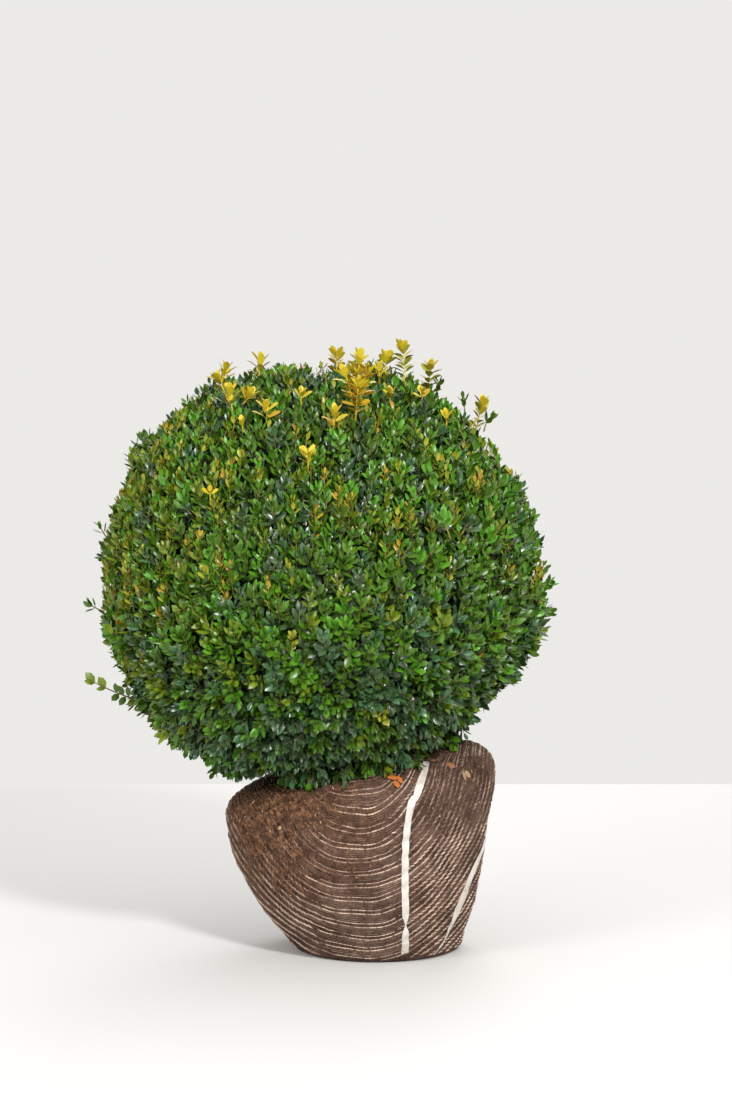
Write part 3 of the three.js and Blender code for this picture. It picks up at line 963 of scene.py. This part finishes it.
# Leaves
# Small, leathery, glossy evergreen leaves, set in opposite pairs, each pair square to the last.
# Their edges roll down a little. Old leaves are deep green, young ones paler at the shoot tips.
LEAF_LENGTH = 0.0158
# Leaves low on the ball are broader than those above: their heights, and widths as shares of length.
LEAF_HEIGHTS = (0.25, 0.45)
LEAF_WIDTHS = (0.57, 0.49)
LEAF_STALK = 0.0008
# How a clipped shoot carries its leaves, from the tip down: the distance between pairs and how it
# grows, their number, their opening from the stalk, their size, and how far they turn to the light.
SHOOT_HABIT = {
    "spacing": 0.0056,
    "spread": 1.0,
    "pairs": 6,
    "openings": np.radians([17, 28, 37, 44, 50, 55]),
    "lengths": np.array([0.66, 0.9, 1.0, 1.03, 1.0, 0.97]),
    "facing": 0.7,
    "twist": 0.35,
}
LOW_DROOP = 0.12
LOW_DROOP_HEIGHTS = (0.24, 0.4)
OVERHEAD_LIGHT = 0.2
BARE_FOOT = 0.12
# Scatter of the pairs along a shoot, their turn and opening in radians, and leaf size and width.
PAIR_SCATTER = 0.12
TURN_SCATTER = 0.16
OPENING_SCATTER = 0.13
SIZE_SCATTER = 0.08
WIDTH_SCATTER = 0.07
# Along the leaf, across it and up from it, as shares of its length, width and length.
LEAF_OUTLINE = np.array(
    [
        (0.0, 0.0, 0.0),
        (0.32, -0.43, -0.03),
        (0.7, -0.42, -0.055),
        (1.0, 0.0, -0.085),
        (0.7, 0.42, -0.055),
        (0.32, 0.43, -0.03),
        (0.36, 0.0, 0.045),
        (0.72, 0.0, 0.02),
    ]
)
LEAF_FACES = np.array(
    [(0, 6, 1), (0, 5, 6), (1, 6, 7), (1, 7, 2), (5, 7, 6), (5, 4, 7), (2, 7, 3), (3, 7, 4)]
)


def leaf_frames(starts, bends, tips, size, habit):
    """Each leaf's foot, way out, upper side and length, and the numbers of its shoot and its pair."""
    pairs, openings, lengths = habit["pairs"], habit["openings"], habit["lengths"]
    count = len(tips)
    shoot_lengths = np.linalg.norm(tips - starts, axis=1)
    order = np.arange(pairs)
    jitter = random.normal(0, PAIR_SCATTER, (count, pairs))
    from_tip = habit["spacing"] * np.maximum(0, order + jitter) ** habit["spread"]
    shares = 1 - from_tip / shoot_lengths[:, None]
    places, headings = bend_points(starts, bends, tips, np.clip(shares, 0, 1))
    aside = unit(np.cross(headings, unit(random.normal(0, 1, (count, 3)))[:, None]))
    across = np.cross(headings, aside)
    turn = random.uniform(0, math.pi, (count, 1)) + order * math.pi / 2
    turn = turn + random.normal(0, TURN_SCATTER, turn.shape)
    turn = np.stack([turn, turn + math.pi], -1)[..., None]
    outward = np.cos(turn) * aside[:, :, None] + np.sin(turn) * across[:, :, None]
    opening = openings[np.minimum(order, len(openings) - 1)][:, None]
    opening = (opening + random.normal(0, OPENING_SCATTER, (count, pairs, 2)))[..., None]
    heading = headings[:, :, None]
    axis = np.sin(opening) * outward + np.cos(opening) * heading
    droop = LOW_DROOP * (1 - smooth_share(places[..., 2], *LOW_DROOP_HEIGHTS))
    axis = unit(axis - droop[:, :, None, None] * UP)
    upper = -np.cos(opening) * outward + np.sin(opening) * heading
    light = unit(places - BALL_CENTRE) + OVERHEAD_LIGHT * UP
    upper = upper + habit["facing"] * light[:, :, None] + random.normal(0, habit["twist"], upper.shape)
    upper = square_to(upper, axis)
    foot = places[:, :, None] + LEAF_STALK * outward
    grown = size[:, None, None] * lengths[np.minimum(order, len(lengths) - 1)][:, None]
    grown = grown * random.normal(1, SIZE_SCATTER, (count, pairs, 2))
    kept = np.broadcast_to((shares > BARE_FOOT)[:, :, None], grown.shape)
    shoot = np.broadcast_to(np.arange(count)[:, None, None], grown.shape)
    pair = np.broadcast_to(order[None, :, None], grown.shape)
    return [values[kept] for values in (foot, axis, upper, grown, shoot, pair)]


def leaf_mesh(foot, axis, upper, length, breadth=None, outline=LEAF_OUTLINE, faces=LEAF_FACES):
    """Points and triangles of many leaves of one outline, whose breadth is a share of their length."""
    aside = np.cross(upper, axis)
    along, across, height = outline.T
    breadth = breadth or np.interp(foot[:, 2], LEAF_HEIGHTS, LEAF_WIDTHS)
    width = length * breadth * random.normal(1, WIDTH_SCATTER, len(length))
    points = (
        foot[:, None]
        + along[:, None] * (length[:, None] * axis)[:, None]
        + across[:, None] * (width[:, None] * aside)[:, None]
        + height[:, None] * (length[:, None] * upper)[:, None]
    )
    first = len(outline) * np.arange(len(length))[:, None, None]
    return points.reshape(-1, 3), (faces[None] + first).reshape(-1, 3)


# Colours of the kinds of leaf, roughly from dark to pale.
LEAF_KINDS = {
    "deep": (0.039, 0.078, 0.025),
    "blue_green": (0.041, 0.11, 0.036),
    "dark_green": (0.048, 0.104, 0.007),
    "green": (0.06, 0.155, 0.008),
    "fresh": (0.074, 0.228, 0.012),
    "olive": (0.12, 0.172, 0.008),
    "yellow_green": (0.28, 0.29, 0.025),
    "amber": (0.34, 0.225, 0.02),
}
# Shares of each kind at the foot, the middle and the top of the ball. The kinds run in patches,
# lie higher on the left than on the right, and turn to those of the foot between two heights.
KIND_PATCHES = 0.3
KIND_FINENESS = 22
KIND_SLANT = 0.22
FOOT_SHADE_FROM = (0.1, 0.75)
# At the foot the darker kinds are dealt more, as painted shade under the ball.
SHADED_FOOT_SHARES = np.array([0.3, 0.3, 0.24, 0.11, 0.03, 0.02, 0, 0])
MIDDLE_SHARES = np.array([0.06, 0.12, 0.28, 0.28, 0.17, 0.08, 0.01, 0])
TOP_SHARES = np.array([0.09, 0.14, 0.34, 0.26, 0.1, 0.06, 0.01, 0])
# On the left more of the shoots are olive: from where to where it sets in, and the share at most.
LEFT_OLIVE_FROM = (0.15, 0.85)
LEFT_OLIVE = 0.42
OLIVE_KIND = 5
# Older leaves behind a shoot's first pairs are of a darker kind: the number of each kind's older one.
FRESH_PAIRS = 3
OLDER_KIND = np.array([0, 0, 0, 2, 3, 3, 5, 6])
# The lowest, darkest leaves are the glossiest.
GLOSSY_KINDS = 2
LEAF_GLOSS = 0.41
DARK_LEAF_GLOSS = 0.72
LEAF_ROUGHNESS = 0.34
# Slim upright sprays of small young leaves, amber at the tip and greener below. They are likelier
# on the left, and set in between two heights, as shares of the ball.
YOUNG_SHARES = np.array([0, 0, 0, 0, 0.19, 0.41, 0.35, 0.05])
YOUNG_COUNT = 1650
YOUNG_SCATTER = 0.05
YOUNG_FROM = (-0.7, 0.2)
YOUNG_LIKELIHOOD = 0.55
YOUNG_LEFTWARD = 0.38
YOUNG_LEAF = 0.0112
YOUNG_LENGTHS = (0.022, 0.05)
YOUNG_FOOT_DEPTH = 0.01
YOUNG_TIP_DEPTH = 0.002
YOUNG_SPLAY = 0.15
YOUNG_BOW = 0.003
YOUNG_STALK = (4, 3, 0.0008, 0.0005)
# Behind its first pairs a young spray is one kind greener, and none is greener than plain green.
YOUNG_FRESH_PAIRS = 3
GREENEST_YOUNG = 3
YOUNG_HABIT = {
    "spacing": 0.0052,
    "spread": 1.0,
    "pairs": 8,
    "openings": np.radians([14, 24, 31, 36, 39, 42]),
    "lengths": np.array([0.7, 0.9, 1.0]),
    "facing": 0.6,
    "twist": 0.25,
}
LEAVES_IN_A_PIECE = 24000
# Older leaves behind the skin of the ball, which keep it dark inside.
INNER_COUNT = 1400
INNER_SCATTER = 0.02
INNER_FORK_DEPTH = 0.012
INNER_DEPTHS = (0.028, 0.048)
INNER_LEAF = 0.018
INNER_HABIT = {**SHOOT_HABIT, "pairs": 3}


def leaf_material(name, colour, roughness=LEAF_ROUGHNESS, gloss=LEAF_GLOSS):
    return new_material(name, colour, roughness, gloss)[0]


def dealt_kinds(shares):
    """A kind for each row of shares, drawn by chance."""
    rolls = random.random((len(shares), 1)) * shares.sum(1)[:, None]
    return (shares.cumsum(1) < rolls).sum(1)


height = (tips[:, 2] - BALL_CENTRE[2]) / BALL_RADIUS
slant = KIND_SLANT * (tips[:, 0] - BALL_CENTRE[0]) / BALL_RADIUS
height += KIND_PATCHES * noise_at(tips, KIND_FINENESS) - slant
height = np.clip(height, -1, 1)[:, None]
# Low on the ball the darker kinds take over, as painted shade.
lower = smooth_share(-height, *FOOT_SHADE_FROM)
chances = lower * SHADED_FOOT_SHARES + (1 - lower) * MIDDLE_SHARES
chances = np.where(height > 0, height * TOP_SHARES + (1 - height) * MIDDLE_SHARES, chances)
leftness = smooth_share((BALL_CENTRE[0] - tips[:, 0]) / BALL_RADIUS, *LEFT_OLIVE_FROM)
chances[:, OLIVE_KIND] += LEFT_OLIVE * leftness * (1 - lower[:, 0])
kinds = dealt_kinds(chances)
size = LEAF_LENGTH * random.normal(1, SIZE_SCATTER, len(tips))
*frames, shoot, pair = leaf_frames(*shoot_lines, size, SHOOT_HABIT)
foliage = [*frames, np.where(pair >= FRESH_PAIRS, OLDER_KIND[kinds[shoot]], kinds[shoot])]

inner_ways, inner_reaches = scattered_ways(INNER_COUNT, INNER_SCATTER)
inner_depths = random.uniform(*INNER_DEPTHS, len(inner_ways))
inner_tips = BALL_CENTRE + inner_ways * (inner_reaches - inner_depths)[:, None]
inner_starts = forks[outer_forks[nearest_of(inner_tips, forks[outer_forks])]]
inner_starts = inner_starts - INNER_FORK_DEPTH * inner_ways
inner_lines = inner_starts, shoot_bends(inner_starts, inner_tips, inner_ways), inner_tips
*frames, shoot, pair = leaf_frames(*inner_lines, np.full(len(inner_tips), INNER_LEAF), INNER_HABIT)
inside = [*frames, np.zeros(len(pair), int)]

young_ways = spread_directions(YOUNG_COUNT)
young_ways = unit(young_ways + random.normal(0, YOUNG_SCATTER, young_ways.shape))
likely = YOUNG_LIKELIHOOD - YOUNG_LEFTWARD * young_ways[:, 0]
likely = smooth_share(young_ways[:, 2], *YOUNG_FROM) * likely
young_ways = young_ways[likely > random.random(YOUNG_COUNT)]
young_starts = BALL_CENTRE + young_ways * (reaches_of(young_ways) - YOUNG_FOOT_DEPTH)[:, None]
young_length = random.uniform(*YOUNG_LENGTHS, (len(young_ways), 1))
young_tips = young_starts + young_length * (UP + YOUNG_SPLAY * young_ways)
tip_ways = unit(young_tips - BALL_CENTRE)
tip_reach = reaches_of(tip_ways) - YOUNG_TIP_DEPTH
low_tips = np.minimum(np.linalg.norm(young_tips - BALL_CENTRE, axis=1), tip_reach)
young_tips = BALL_CENTRE + tip_ways * low_tips[:, None]
young_bends = (young_starts + young_tips) / 2 + YOUNG_BOW * young_ways
young_lines = young_starts, young_bends, young_tips
*frames, shoot, pair = leaf_frames(*young_lines, np.full(len(young_tips), YOUNG_LEAF), YOUNG_HABIT)
young_kinds = dealt_kinds(np.tile(YOUNG_SHARES, (len(young_tips), 1)))[shoot]
young_kinds = young_kinds - (pair > YOUNG_FRESH_PAIRS) + random.integers(-1, 2, len(pair))
youngest = [*frames, np.clip(young_kinds, GREENEST_YOUNG, len(LEAF_KINDS) - 1)]
foot, axis, upper, length, kind = [np.concatenate(each) for each in zip(foliage, inside, youngest)]
stalk_material = new_material("young_stalk", (0.24, 0.19, 0.04), roughness=0.6)[0]
add_stalks("young_stalks", young_lines, YOUNG_STALK, stalk_material, "box_foliage", "foliage_ball")
for number, (name, colour) in enumerate(LEAF_KINDS.items()):
    gloss = DARK_LEAF_GLOSS if number < GLOSSY_KINDS else LEAF_GLOSS
    material = leaf_material("box_leaf_" + name, colour, gloss=gloss)
    chosen = np.nonzero(kind == number)[0]
    part_count = math.ceil(len(chosen) / LEAVES_IN_A_PIECE)
    for part in range(part_count):
        some = chosen[part::part_count]
        leaves = leaf_mesh(foot[some], axis[some], upper[some], length[some])
        leaves = mesh_piece("leaves_%s_%d" % (name, part + 1), *leaves)
        place_piece(leaves, material, "box_foliage", "foliage_ball")


# Dead leaves
# Dry leaves that have dropped from the ball and lie curled on the net: rusty ones in front of
# the stem, brown and pale ones on the right shoulder.
# Each is given by its foot, which way it points, how it tips away from the net and its length.
DEAD_LEAVES = {
    "rusty": [
        ((0.0060, -0.1180, 0.2260), (0.2, -0.6, 0.9), (0.3, -0.6, 0.2), 0.015),
        ((0.0100, -0.1390, 0.2190), (0.9, -0.5, -0.1), (0.1, -0.2, 0.3), 0.017),
        ((0.0180, -0.1380, 0.2180), (0.7, -0.6, -0.5), (-0.5, -0.4, 0.2), 0.015),
        ((0.0220, -0.1450, 0.2140), (0.3, -0.5, -0.9), (0.6, -0.2, 0.3), 0.013),
    ],
    "brown": [
        ((0.0760, -0.0990, 0.2270), (0.9, -0.4, 0.0), (0.0, -0.7, 0.1), 0.013),
        ((0.0640, -0.0960, 0.2290), (0.7, -0.4, -0.5), (0.2, -0.5, 0.3), 0.009),
    ],
    "pale": [
        ((0.0940, -0.0960, 0.2250), (0.4, -0.3, -0.9), (0.7, -0.2, 0.2), 0.014),
        ((0.0970, -0.0930, 0.2230), (0.8, -0.3, -0.5), (-0.2, -0.5, 0.4), 0.011),
    ],
}
DEAD_COLOURS = {
    "rusty": (0.43, 0.125, 0.028),
    "brown": (0.24, 0.1, 0.04),
    "pale": (0.28, 0.17, 0.09),
}
DEAD_LEAF_LIFT = 0.0015
DEAD_LEAF_PRESSED = 0.8
DEAD_BREADTH = 0.62
DRY_ROUGHNESS = 0.6

for tone, leaves in DEAD_LEAVES.items():
    feet, axes, tips_away, lengths = [np.array(column) for column in zip(*leaves)]
    resting = [net_surface.find_nearest(Vector(foot_place))[:2] for foot_place in feet]
    off_net = np.array([outward for place, outward in resting])
    feet = np.array([place for place, outward in resting]) + DEAD_LEAF_LIFT * off_net
    axes = unit(axes - DEAD_LEAF_PRESSED * (axes * off_net).sum(-1, keepdims=True) * off_net)
    uppers = square_to(off_net + tips_away, axes)
    dead = mesh_piece("dead_leaves_" + tone, *leaf_mesh(feet, axes, uppers, lengths, DEAD_BREADTH))
    dead_material = leaf_material("dead_leaf_" + tone, DEAD_COLOURS[tone], DRY_ROUGHNESS)
    place_piece(dead, dead_material, "box_foliage")


# Golden shoots
# Unclipped young shoots on top, their leaves larger, softer and turned gold.
# They stand in close whorls of broad leaves, and the tallest are still lime green below.
GOLDEN_LEAF = 0.0158
GOLDEN_LEAF_WIDTH = 0.53
GOLDEN_ROUGHNESS = 0.5
GOLDEN_STALK = (4, 5, 0.001, 0.0006)
GOLDEN_FOOT_DEPTH = 0.01
BEND_SCATTER = 0.0015
GOLDEN_HABIT = {
    "spacing": 0.0019,
    "spread": 1.4,
    "openings": np.radians([16, 31, 43, 50, 55, 58]),
    "lengths": np.array([0.8, 0.95, 1.04, 1.04, 1.0, 0.95]),
    "facing": 0.0,
    "twist": 0.2,
}
# Along the leaf, across it and up from it: broad, round at the end, hollow along the middle.
GOLDEN_OUTLINE = np.array(
    [
        (0.0, 0.0, 0.0),
        (0.2, -0.26, 0.02),
        (0.46, -0.48, 0.03),
        (0.74, -0.46, 0.0),
        (0.93, -0.24, -0.06),
        (1.0, 0.0, -0.1),
        (0.93, 0.24, -0.06),
        (0.74, 0.46, 0.0),
        (0.46, 0.48, 0.03),
        (0.2, 0.26, 0.02),
        (0.34, 0.0, -0.035),
        (0.7, 0.0, -0.06),
    ]
)
GOLDEN_HALF = [(0, 10, 1), (1, 10, 2), (2, 10, 11), (2, 11, 3), (3, 11, 4), (4, 11, 5)]
GOLDEN_OTHER_HALF = [(0, 9, 10), (9, 8, 10), (8, 11, 10), (8, 7, 11), (7, 6, 11), (6, 5, 11)]
GOLDEN_FACES = np.array(GOLDEN_HALF + GOLDEN_OTHER_HALF)
GOLDEN_COLOURS = {
    "golden": (0.5, 0.395, 0.016),
    "old_gold": (0.4, 0.255, 0.013),
    "lime": (0.3, 0.3, 0.02),
}
LIME_NODES = ["golden_shoot_tallest", "golden_shoot_right", "golden_shoot_middle"]
GOLD_NODES = ["golden_shoot_centre_top", "golden_shoot_left", "golden_shoot_far_left"]
LAST_NODE = ["golden_shoot_far_right"]
SINGLE_NODES = LIME_NODES + GOLD_NODES + LAST_NODE
# How far a stalk ends below the top of its solid, up to which its last leaves reach.
TIP_SUNK = 0.013
LAST_TIP_SUNK = 0.016
# The pair from which a shoot turns lime green, and how much closer its pairs are then.
LIME_FROM = 3.2
LIME_SCATTER = 0.8
LIME_CLOSER = 0.72
NEVER_LIME = 99
OLD_GOLD_FROM = 4
OLD_GOLD_SCATTER = 1.5
# Foot of each shoot among the leaves and its reach to the tip.
CLUSTER = [
    ((-0.026, -0.172, 0.630), (0.005, -0.002, 0.078)),
    ((-0.029, -0.170, 0.656), (-0.008, -0.002, 0.034)),
    ((-0.020, -0.168, 0.656), (0.009, 0.002, 0.036)),
    ((-0.024, -0.162, 0.664), (-0.002, 0.008, 0.030)),
    ((-0.024, -0.174, 0.650), (0.002, -0.010, 0.026)),
]
# The same for the yellow tips on the clipped surface, with their pairs of leaves. Those with few
# pairs have smaller leaves.
SMALL_TUFT = 2
SMALL_TUFT_LEAF = 0.8
TUFTS = [
    ((-0.166, -0.146, 0.640), (-0.004, -0.006, 0.030), 4),
    ((-0.176, -0.100, 0.664), (-0.010, -0.004, 0.024), 3),
    ((-0.158, -0.136, 0.655), (0.010, -0.006, 0.012), 3),
    ((-0.127, -0.176, 0.632), (0.001, -0.008, 0.020), 4),
    ((-0.050, -0.188, 0.622), (0.001, -0.008, 0.022), 4),
    ((-0.087, -0.158, 0.654), (0.000, -0.006, 0.013), 2),
    ((-0.153, -0.180, 0.622), (-0.001, -0.008, 0.011), 1),
    ((-0.078, -0.226, 0.580), (0.000, -0.008, 0.017), 3),
    ((-0.188, -0.217, 0.541), (0.000, -0.008, 0.014), 1),
    ((0.001, -0.097, 0.680), (0.001, -0.006, 0.017), 3),
    ((0.052, -0.096, 0.658), (0.000, -0.006, 0.013), 2),
    ((0.014, -0.132, 0.656), (0.000, -0.006, 0.013), 2),
    ((0.080, -0.118, 0.630), (0.000, -0.006, 0.013), 2),
]


def single_shoot(foot_place, tip_place, size, habit=GOLDEN_HABIT, pairs=None):
    """The leaf frames and stalk path of one shoot by itself, in leaf all the way if pairs is None."""
    bend = (foot_place + tip_place) / 2 + random.normal(0, BEND_SCATTER, 3)
    spacings = np.linalg.norm(tip_place - foot_place) / habit["spacing"]
    habit = {**habit, "pairs": pairs or int(spacings ** (1 / habit["spread"])) + 1}
    shoot_line = foot_place[None], bend[None], tip_place[None]
    *frames, shoot, pair = leaf_frames(*shoot_line, np.array([size]), habit)
    return [*frames, pair], shoot_line


def joined(parts):
    """Rows of arrays, put end to end column by column."""
    return [np.concatenate(column) for column in zip(*parts)]


golden_shoots = []
for node in SINGLE_NODES:
    corners = corners_of(node)
    golden_foot = corners[corners[:, 2].argmin()] - GOLDEN_FOOT_DEPTH * UP
    sunk = LAST_TIP_SUNK if node in LAST_NODE else TIP_SUNK
    golden_tip = corners[corners[:, 2].argmax()] - sunk * UP
    lime_from = NEVER_LIME if node in GOLD_NODES else LIME_FROM
    closer = LIME_CLOSER if node in LIME_NODES else 1
    habit = {**GOLDEN_HABIT, "spacing": closer * GOLDEN_HABIT["spacing"]}
    shoot = single_shoot(golden_foot, golden_tip, GOLDEN_LEAF, habit)
    golden_shoots.append((*shoot, lime_from))
for foot_place, reach in CLUSTER:
    foot_place = np.array(foot_place)
    shoot = single_shoot(foot_place, foot_place + reach, GOLDEN_LEAF)
    golden_shoots.append((*shoot, NEVER_LIME))
for foot_place, reach, pairs in TUFTS:
    foot_place = np.array(foot_place)
    size = GOLDEN_LEAF * (1 if pairs > SMALL_TUFT else SMALL_TUFT_LEAF)
    shoot = single_shoot(foot_place, foot_place + reach, size, GOLDEN_HABIT, pairs + 1)
    golden_shoots.append((*shoot, NEVER_LIME))

*frames, pair = joined([leaves for leaves, line, lime in golden_shoots])
lime_from = np.concatenate([np.full(len(leaves[0]), lime) for leaves, line, lime in golden_shoots])
limy = pair + random.normal(0, LIME_SCATTER, len(pair)) > lime_from
older = ~limy & (pair + random.normal(0, OLD_GOLD_SCATTER, len(pair)) > OLD_GOLD_FROM)
leaves_of = {"golden": ~limy & ~older, "old_gold": older, "lime": limy}
golden_nodes = SINGLE_NODES + ["golden_shoot_cluster"]
golden_shape = GOLDEN_LEAF_WIDTH, GOLDEN_OUTLINE, GOLDEN_FACES
for tone, colour in GOLDEN_COLOURS.items():
    material = leaf_material(tone + "_leaf", colour, GOLDEN_ROUGHNESS)
    leaves = leaf_mesh(*[values[leaves_of[tone]] for values in frames], *golden_shape)
    place_piece(mesh_piece(tone + "_leaves", *leaves), material, "golden_foliage", *golden_nodes)
golden_lines = joined([line for leaves, line, lime in golden_shoots])
finish = bpy.data.materials["golden_leaf"], "golden_foliage", *golden_nodes
add_stalks("golden_stalks", golden_lines, GOLDEN_STALK, *finish)


# Proud sprays
# Green shoots that have outgrown the clipped surface: a bright one in front of the gap on the right,
# and smaller ones that stand out of the outline. Each has its foot, reach, pairs and leaf size.
PROUD_SPRAYS = {
    "fresh": [
        ((0.0810, -0.2330, 0.5030), (-0.010, -0.014, 0.025), 4, 0.0185),
        ((0.1970, -0.0200, 0.4330), (0.012, -0.004, 0.012), 3, 0.0165),
    ],
    "green": [
        ((0.1960, -0.0100, 0.4480), (0.006, -0.004, 0.018), 3, 0.0150),
        ((0.1950, -0.0300, 0.4030), (0.013, -0.006, 0.008), 3, 0.0160),
        ((-0.3300, -0.0200, 0.4100), (-0.018, -0.004, 0.010), 3, 0.0140),
        ((-0.3250, -0.0300, 0.4980), (-0.010, -0.004, 0.018), 3, 0.0140),
        ((-0.3200, -0.0100, 0.4700), (-0.014, -0.004, 0.006), 3, 0.0130),
    ],
    "dark_green": [
        ((0.1290, -0.0200, 0.6280), (0.008, -0.004, 0.018), 3, 0.0150),
        ((0.1060, -0.0200, 0.6500), (-0.002, -0.004, 0.018), 3, 0.0140),
        ((0.0720, -0.0200, 0.6750), (0.002, -0.004, 0.014), 3, 0.0140),
    ],
}
PROUD_HABIT = {**SHOOT_HABIT, "facing": 0.3}

spray_lines = []
for name, sprays in PROUD_SPRAYS.items():
    spray_frames = []
    for foot_place, reach, pairs, size in sprays:
        foot_place = np.array(foot_place)
        leaves, line = single_shoot(foot_place, foot_place + reach, size, PROUD_HABIT, pairs)
        spray_frames.append(leaves[:-1])
        spray_lines.append(line)
    sprays = mesh_piece("proud_sprays_" + name, *leaf_mesh(*joined(spray_frames)))
    place_piece(sprays, bpy.data.materials["box_leaf_" + name], "box_foliage")
add_stalks("proud_stalks", joined(spray_lines), GOLDEN_STALK, stalk_material, "box_foliage")


# Stray sprig
# One side shoot that the shears missed, low on the left, with broad young yellow-green leaves.
# Each leaf is given by its place along the stalk, which way it points, which way it faces and its size.
SPRIG_LEAF_WIDTH = 0.64
SPRIG_LEAVES = [
    (1.0, (-0.7, 0.1, 0.7), (-0.4, -0.8, 0.3), 0.0180),
    (1.0, (-0.9, -0.3, 0.25), (0.1, -0.8, 0.6), 0.0140),
    (0.71, (-0.6, 0.05, 0.8), (-0.5, -0.8, 0.2), 0.0165),
    (0.71, (-0.9, -0.35, -0.05), (0.2, -0.8, 0.6), 0.0120),
]
SPRIG_OLD_LEAVES = [
    (0.4, (-0.2, -0.3, 0.9), (-0.4, -0.9, 0.1), 0.0130),
    (0.34, (-0.6, -0.4, -0.5), (0.1, -0.8, 0.6), 0.0130),
    (0.22, (-0.4, -0.3, 0.8), (-0.3, -0.9, 0.1), 0.0140),
    (0.16, (-0.5, -0.4, -0.7), (0.1, -0.9, 0.4), 0.0140),
    (0.08, (-0.1, -0.3, 0.9), (-0.3, -0.9, 0.1), 0.0140),
]
SPRIG_TIP_SHIFT = (0.0148, 0, -0.0038)
SPRIG_FOOT_SHIFT = (0.008, 0, -0.008)
SPRIG_SAG = (0, 0, -0.002)
SPRIG_STALK = (6, 5, 0.0011, 0.0006)

sprig_corners = corners_of("stray_sprig")
sprig_tip = sprig_corners[sprig_corners[:, 0].argmin()] + SPRIG_TIP_SHIFT
sprig_foot = sprig_corners[sprig_corners[:, 0].argmax()] + SPRIG_FOOT_SHIFT
sprig_bend = (sprig_foot + sprig_tip) / 2 + SPRIG_SAG
sprig_line = sprig_foot[None], sprig_bend[None], sprig_tip[None]
sprig_material = leaf_material("sprig_leaf", (0.15, 0.22, 0.018))
for name, leaves, material in (
    ("stray_sprig_leaves", SPRIG_LEAVES, sprig_material),
    ("stray_sprig_old_leaves", SPRIG_OLD_LEAVES, bpy.data.materials["box_leaf_dark_green"]),
):
    places, axes, faces, lengths = [np.array(column) for column in zip(*leaves)]
    feet = bend_points(*sprig_line, places[None])[0][0]
    axes = unit(axes)
    leaves = leaf_mesh(feet, axes, square_to(faces, axes), lengths, SPRIG_LEAF_WIDTH)
    place_piece(mesh_piece(name, *leaves), material, "box_foliage", "stray_sprig")
add_stalks("stray_sprig_stalk", sprig_line, SPRIG_STALK, twig_material, "box_foliage", "stray_sprig")


# Floor and light
# A pale floor under soft studio lamps, the main one to the front right as in the picture.
FLOOR_HALF = 1.5
FLOOR_CORNERS = [(x, y, 0) for x, y in ((-1, -1), (1, -1), (1, 1), (-1, 1))]
SKY_COLOUR = (0.97, 0.96, 0.93, 1)
SKY_STRENGTH = 0.86
# Each lamp's name, place, the place it is aimed at, its breadth and its power.
LAMPS = (
    ("key_lamp", (0.95, -2.6, 1.9), (0, 0, 0.4), 0.4, 96),
    ("fill_lamp", (-2.0, -2.0, 1.3), (0, 0, 0.35), 1.0, 34),
    ("back_lamp", (0.4, 2.4, 2.2), (0, 0, 0.5), 1.5, 40),
)

floor_mesh = bpy.data.meshes.new("studio_floor")
floor_mesh.from_pydata(FLOOR_CORNERS, [], [(0, 1, 2, 3)])
floor_mesh.transform(Matrix.Scale(FLOOR_HALF, 4))
floor = new_object("studio_floor", floor_mesh)
floor_mesh.materials.append(new_material("pale_floor", (0.62, 0.61, 0.6), roughness=0.8)[0])

sky = bpy.data.worlds.new("studio_air")
sky.use_nodes = True
sky.node_tree.nodes["Background"].inputs["Color"].default_value = SKY_COLOUR
sky.node_tree.nodes["Background"].inputs["Strength"].default_value = SKY_STRENGTH
bpy.context.scene.world = sky
bpy.context.scene.view_settings.view_transform = "Standard"
for name, place, aimed_at, breadth, power in LAMPS:
    light = bpy.data.lights.new(name, "AREA")
    light.size = breadth
    light.energy = power
    lamp = new_object(name, light)
    lamp.location = place
    lamp.rotation_euler = (Vector(aimed_at) - Vector(place)).to_track_quat("-Z", "Y").to_euler()
